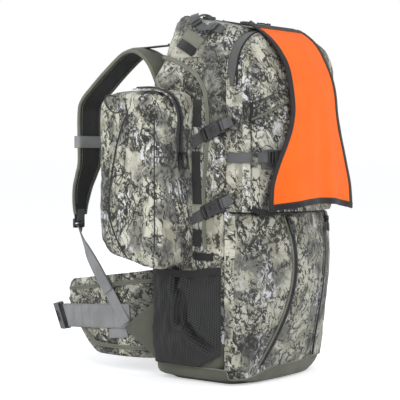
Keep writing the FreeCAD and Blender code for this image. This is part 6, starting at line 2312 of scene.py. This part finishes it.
class BACKPACK_OT_pouches(bpy.types.Operator):
    """Make the side pouches with their piping and zips"""
    bl_idname = "backpack.pouches"
    bl_label = "Side pouches"

    def execute(self, context):
        pouches_operator(context)
        return {"FINISHED"}


class BACKPACK_OT_mesh(bpy.types.Operator):
    """Make the slack mesh pockets, their hems and bands"""
    bl_idname = "backpack.mesh"
    bl_label = "Mesh pockets"

    def execute(self, context):
        mesh_operator(context)
        return {"FINISHED"}


class BACKPACK_OT_zips(bpy.types.Operator):
    """Make the curved zips, the sliders and the pulls"""
    bl_idname = "backpack.zips"
    bl_label = "Curved zips and pulls"

    def execute(self, context):
        zips_operator(context)
        return {"FINISHED"}


class BACKPACK_OT_straps(bpy.types.Operator):
    """Make the compression webbing and its buckles"""
    bl_idname = "backpack.straps"
    bl_label = "Compression straps"

    def execute(self, context):
        straps_operator(context)
        return {"FINISHED"}


class BACKPACK_OT_lid(bpy.types.Operator):
    """Make the grab handle, lid straps, lid zip and tabs"""
    bl_idname = "backpack.lid"
    bl_label = "Handle and lid straps"

    def execute(self, context):
        lid_operator(context)
        return {"FINISHED"}


class BACKPACK_OT_shoulders(bpy.types.Operator):
    """Make the shoulder straps, back pads and chest strap"""
    bl_idname = "backpack.shoulders"
    bl_label = "Shoulder straps"

    def execute(self, context):
        shoulder_operator(context)
        return {"FINISHED"}


class BACKPACK_OT_belt(bpy.types.Operator):
    """Make the hip wings, belt webbing, buckle and adjusters"""
    bl_idname = "backpack.belt"
    bl_label = "Hip belt"

    def execute(self, context):
        belt_operator(context)
        return {"FINISHED"}


class BACKPACK_OT_repeats(bpy.types.Operator):
    """Set stitches and zip teeth along their lines"""
    bl_idname = "backpack.repeats"
    bl_label = "Stitches and zip teeth"

    def execute(self, context):
        repeats_operator(context)
        return {"FINISHED"}


class BACKPACK_OT_frame(bpy.types.Operator):
    """Give the frame stays their finish"""
    bl_idname = "backpack.frame"
    bl_label = "Stays"

    def execute(self, context):
        frame_operator(context)
        return {"FINISHED"}


OPERATORS = [
    BACKPACK_OT_materials,
    BACKPACK_OT_stage,
    BACKPACK_OT_bag,
    BACKPACK_OT_pockets,
    BACKPACK_OT_flap,
    BACKPACK_OT_pouches,
    BACKPACK_OT_mesh,
    BACKPACK_OT_zips,
    BACKPACK_OT_straps,
    BACKPACK_OT_lid,
    BACKPACK_OT_shoulders,
    BACKPACK_OT_belt,
    BACKPACK_OT_repeats,
    BACKPACK_OT_frame,
]


class BACKPACK_PT_panel(bpy.types.Panel):
    """Lists the pack's sizes, colours and makers."""
    bl_label = "Hunting backpack"
    bl_idname = "BACKPACK_PT_panel"
    bl_space_type = "VIEW_3D"
    bl_region_type = "UI"
    bl_category = "Backpack"

    def draw(self, context):
        for group in (context.scene.pack_sizes, context.scene.pack_colours):
            for name in group.__annotations__:
                self.layout.prop(group, name)
        for maker in OPERATORS:
            self.layout.operator(maker.bl_idname)


CLASSES = [PackSizes, PackColours, *OPERATORS, BACKPACK_PT_panel]


def register():
    for cls in CLASSES:
        bpy.utils.register_class(cls)
    bpy.types.Scene.pack_sizes = PointerProperty(type=PackSizes)
    bpy.types.Scene.pack_colours = PointerProperty(type=PackColours)


def unregister():
    del bpy.types.Scene.pack_sizes, bpy.types.Scene.pack_colours
    for cls in reversed(CLASSES):
        bpy.utils.unregister_class(cls)


def main():
    register()
    for maker in OPERATORS:
        group, name = maker.bl_idname.split(".")
        getattr(getattr(bpy.ops, group), name)()


if __name__ == "__main__":
    main()
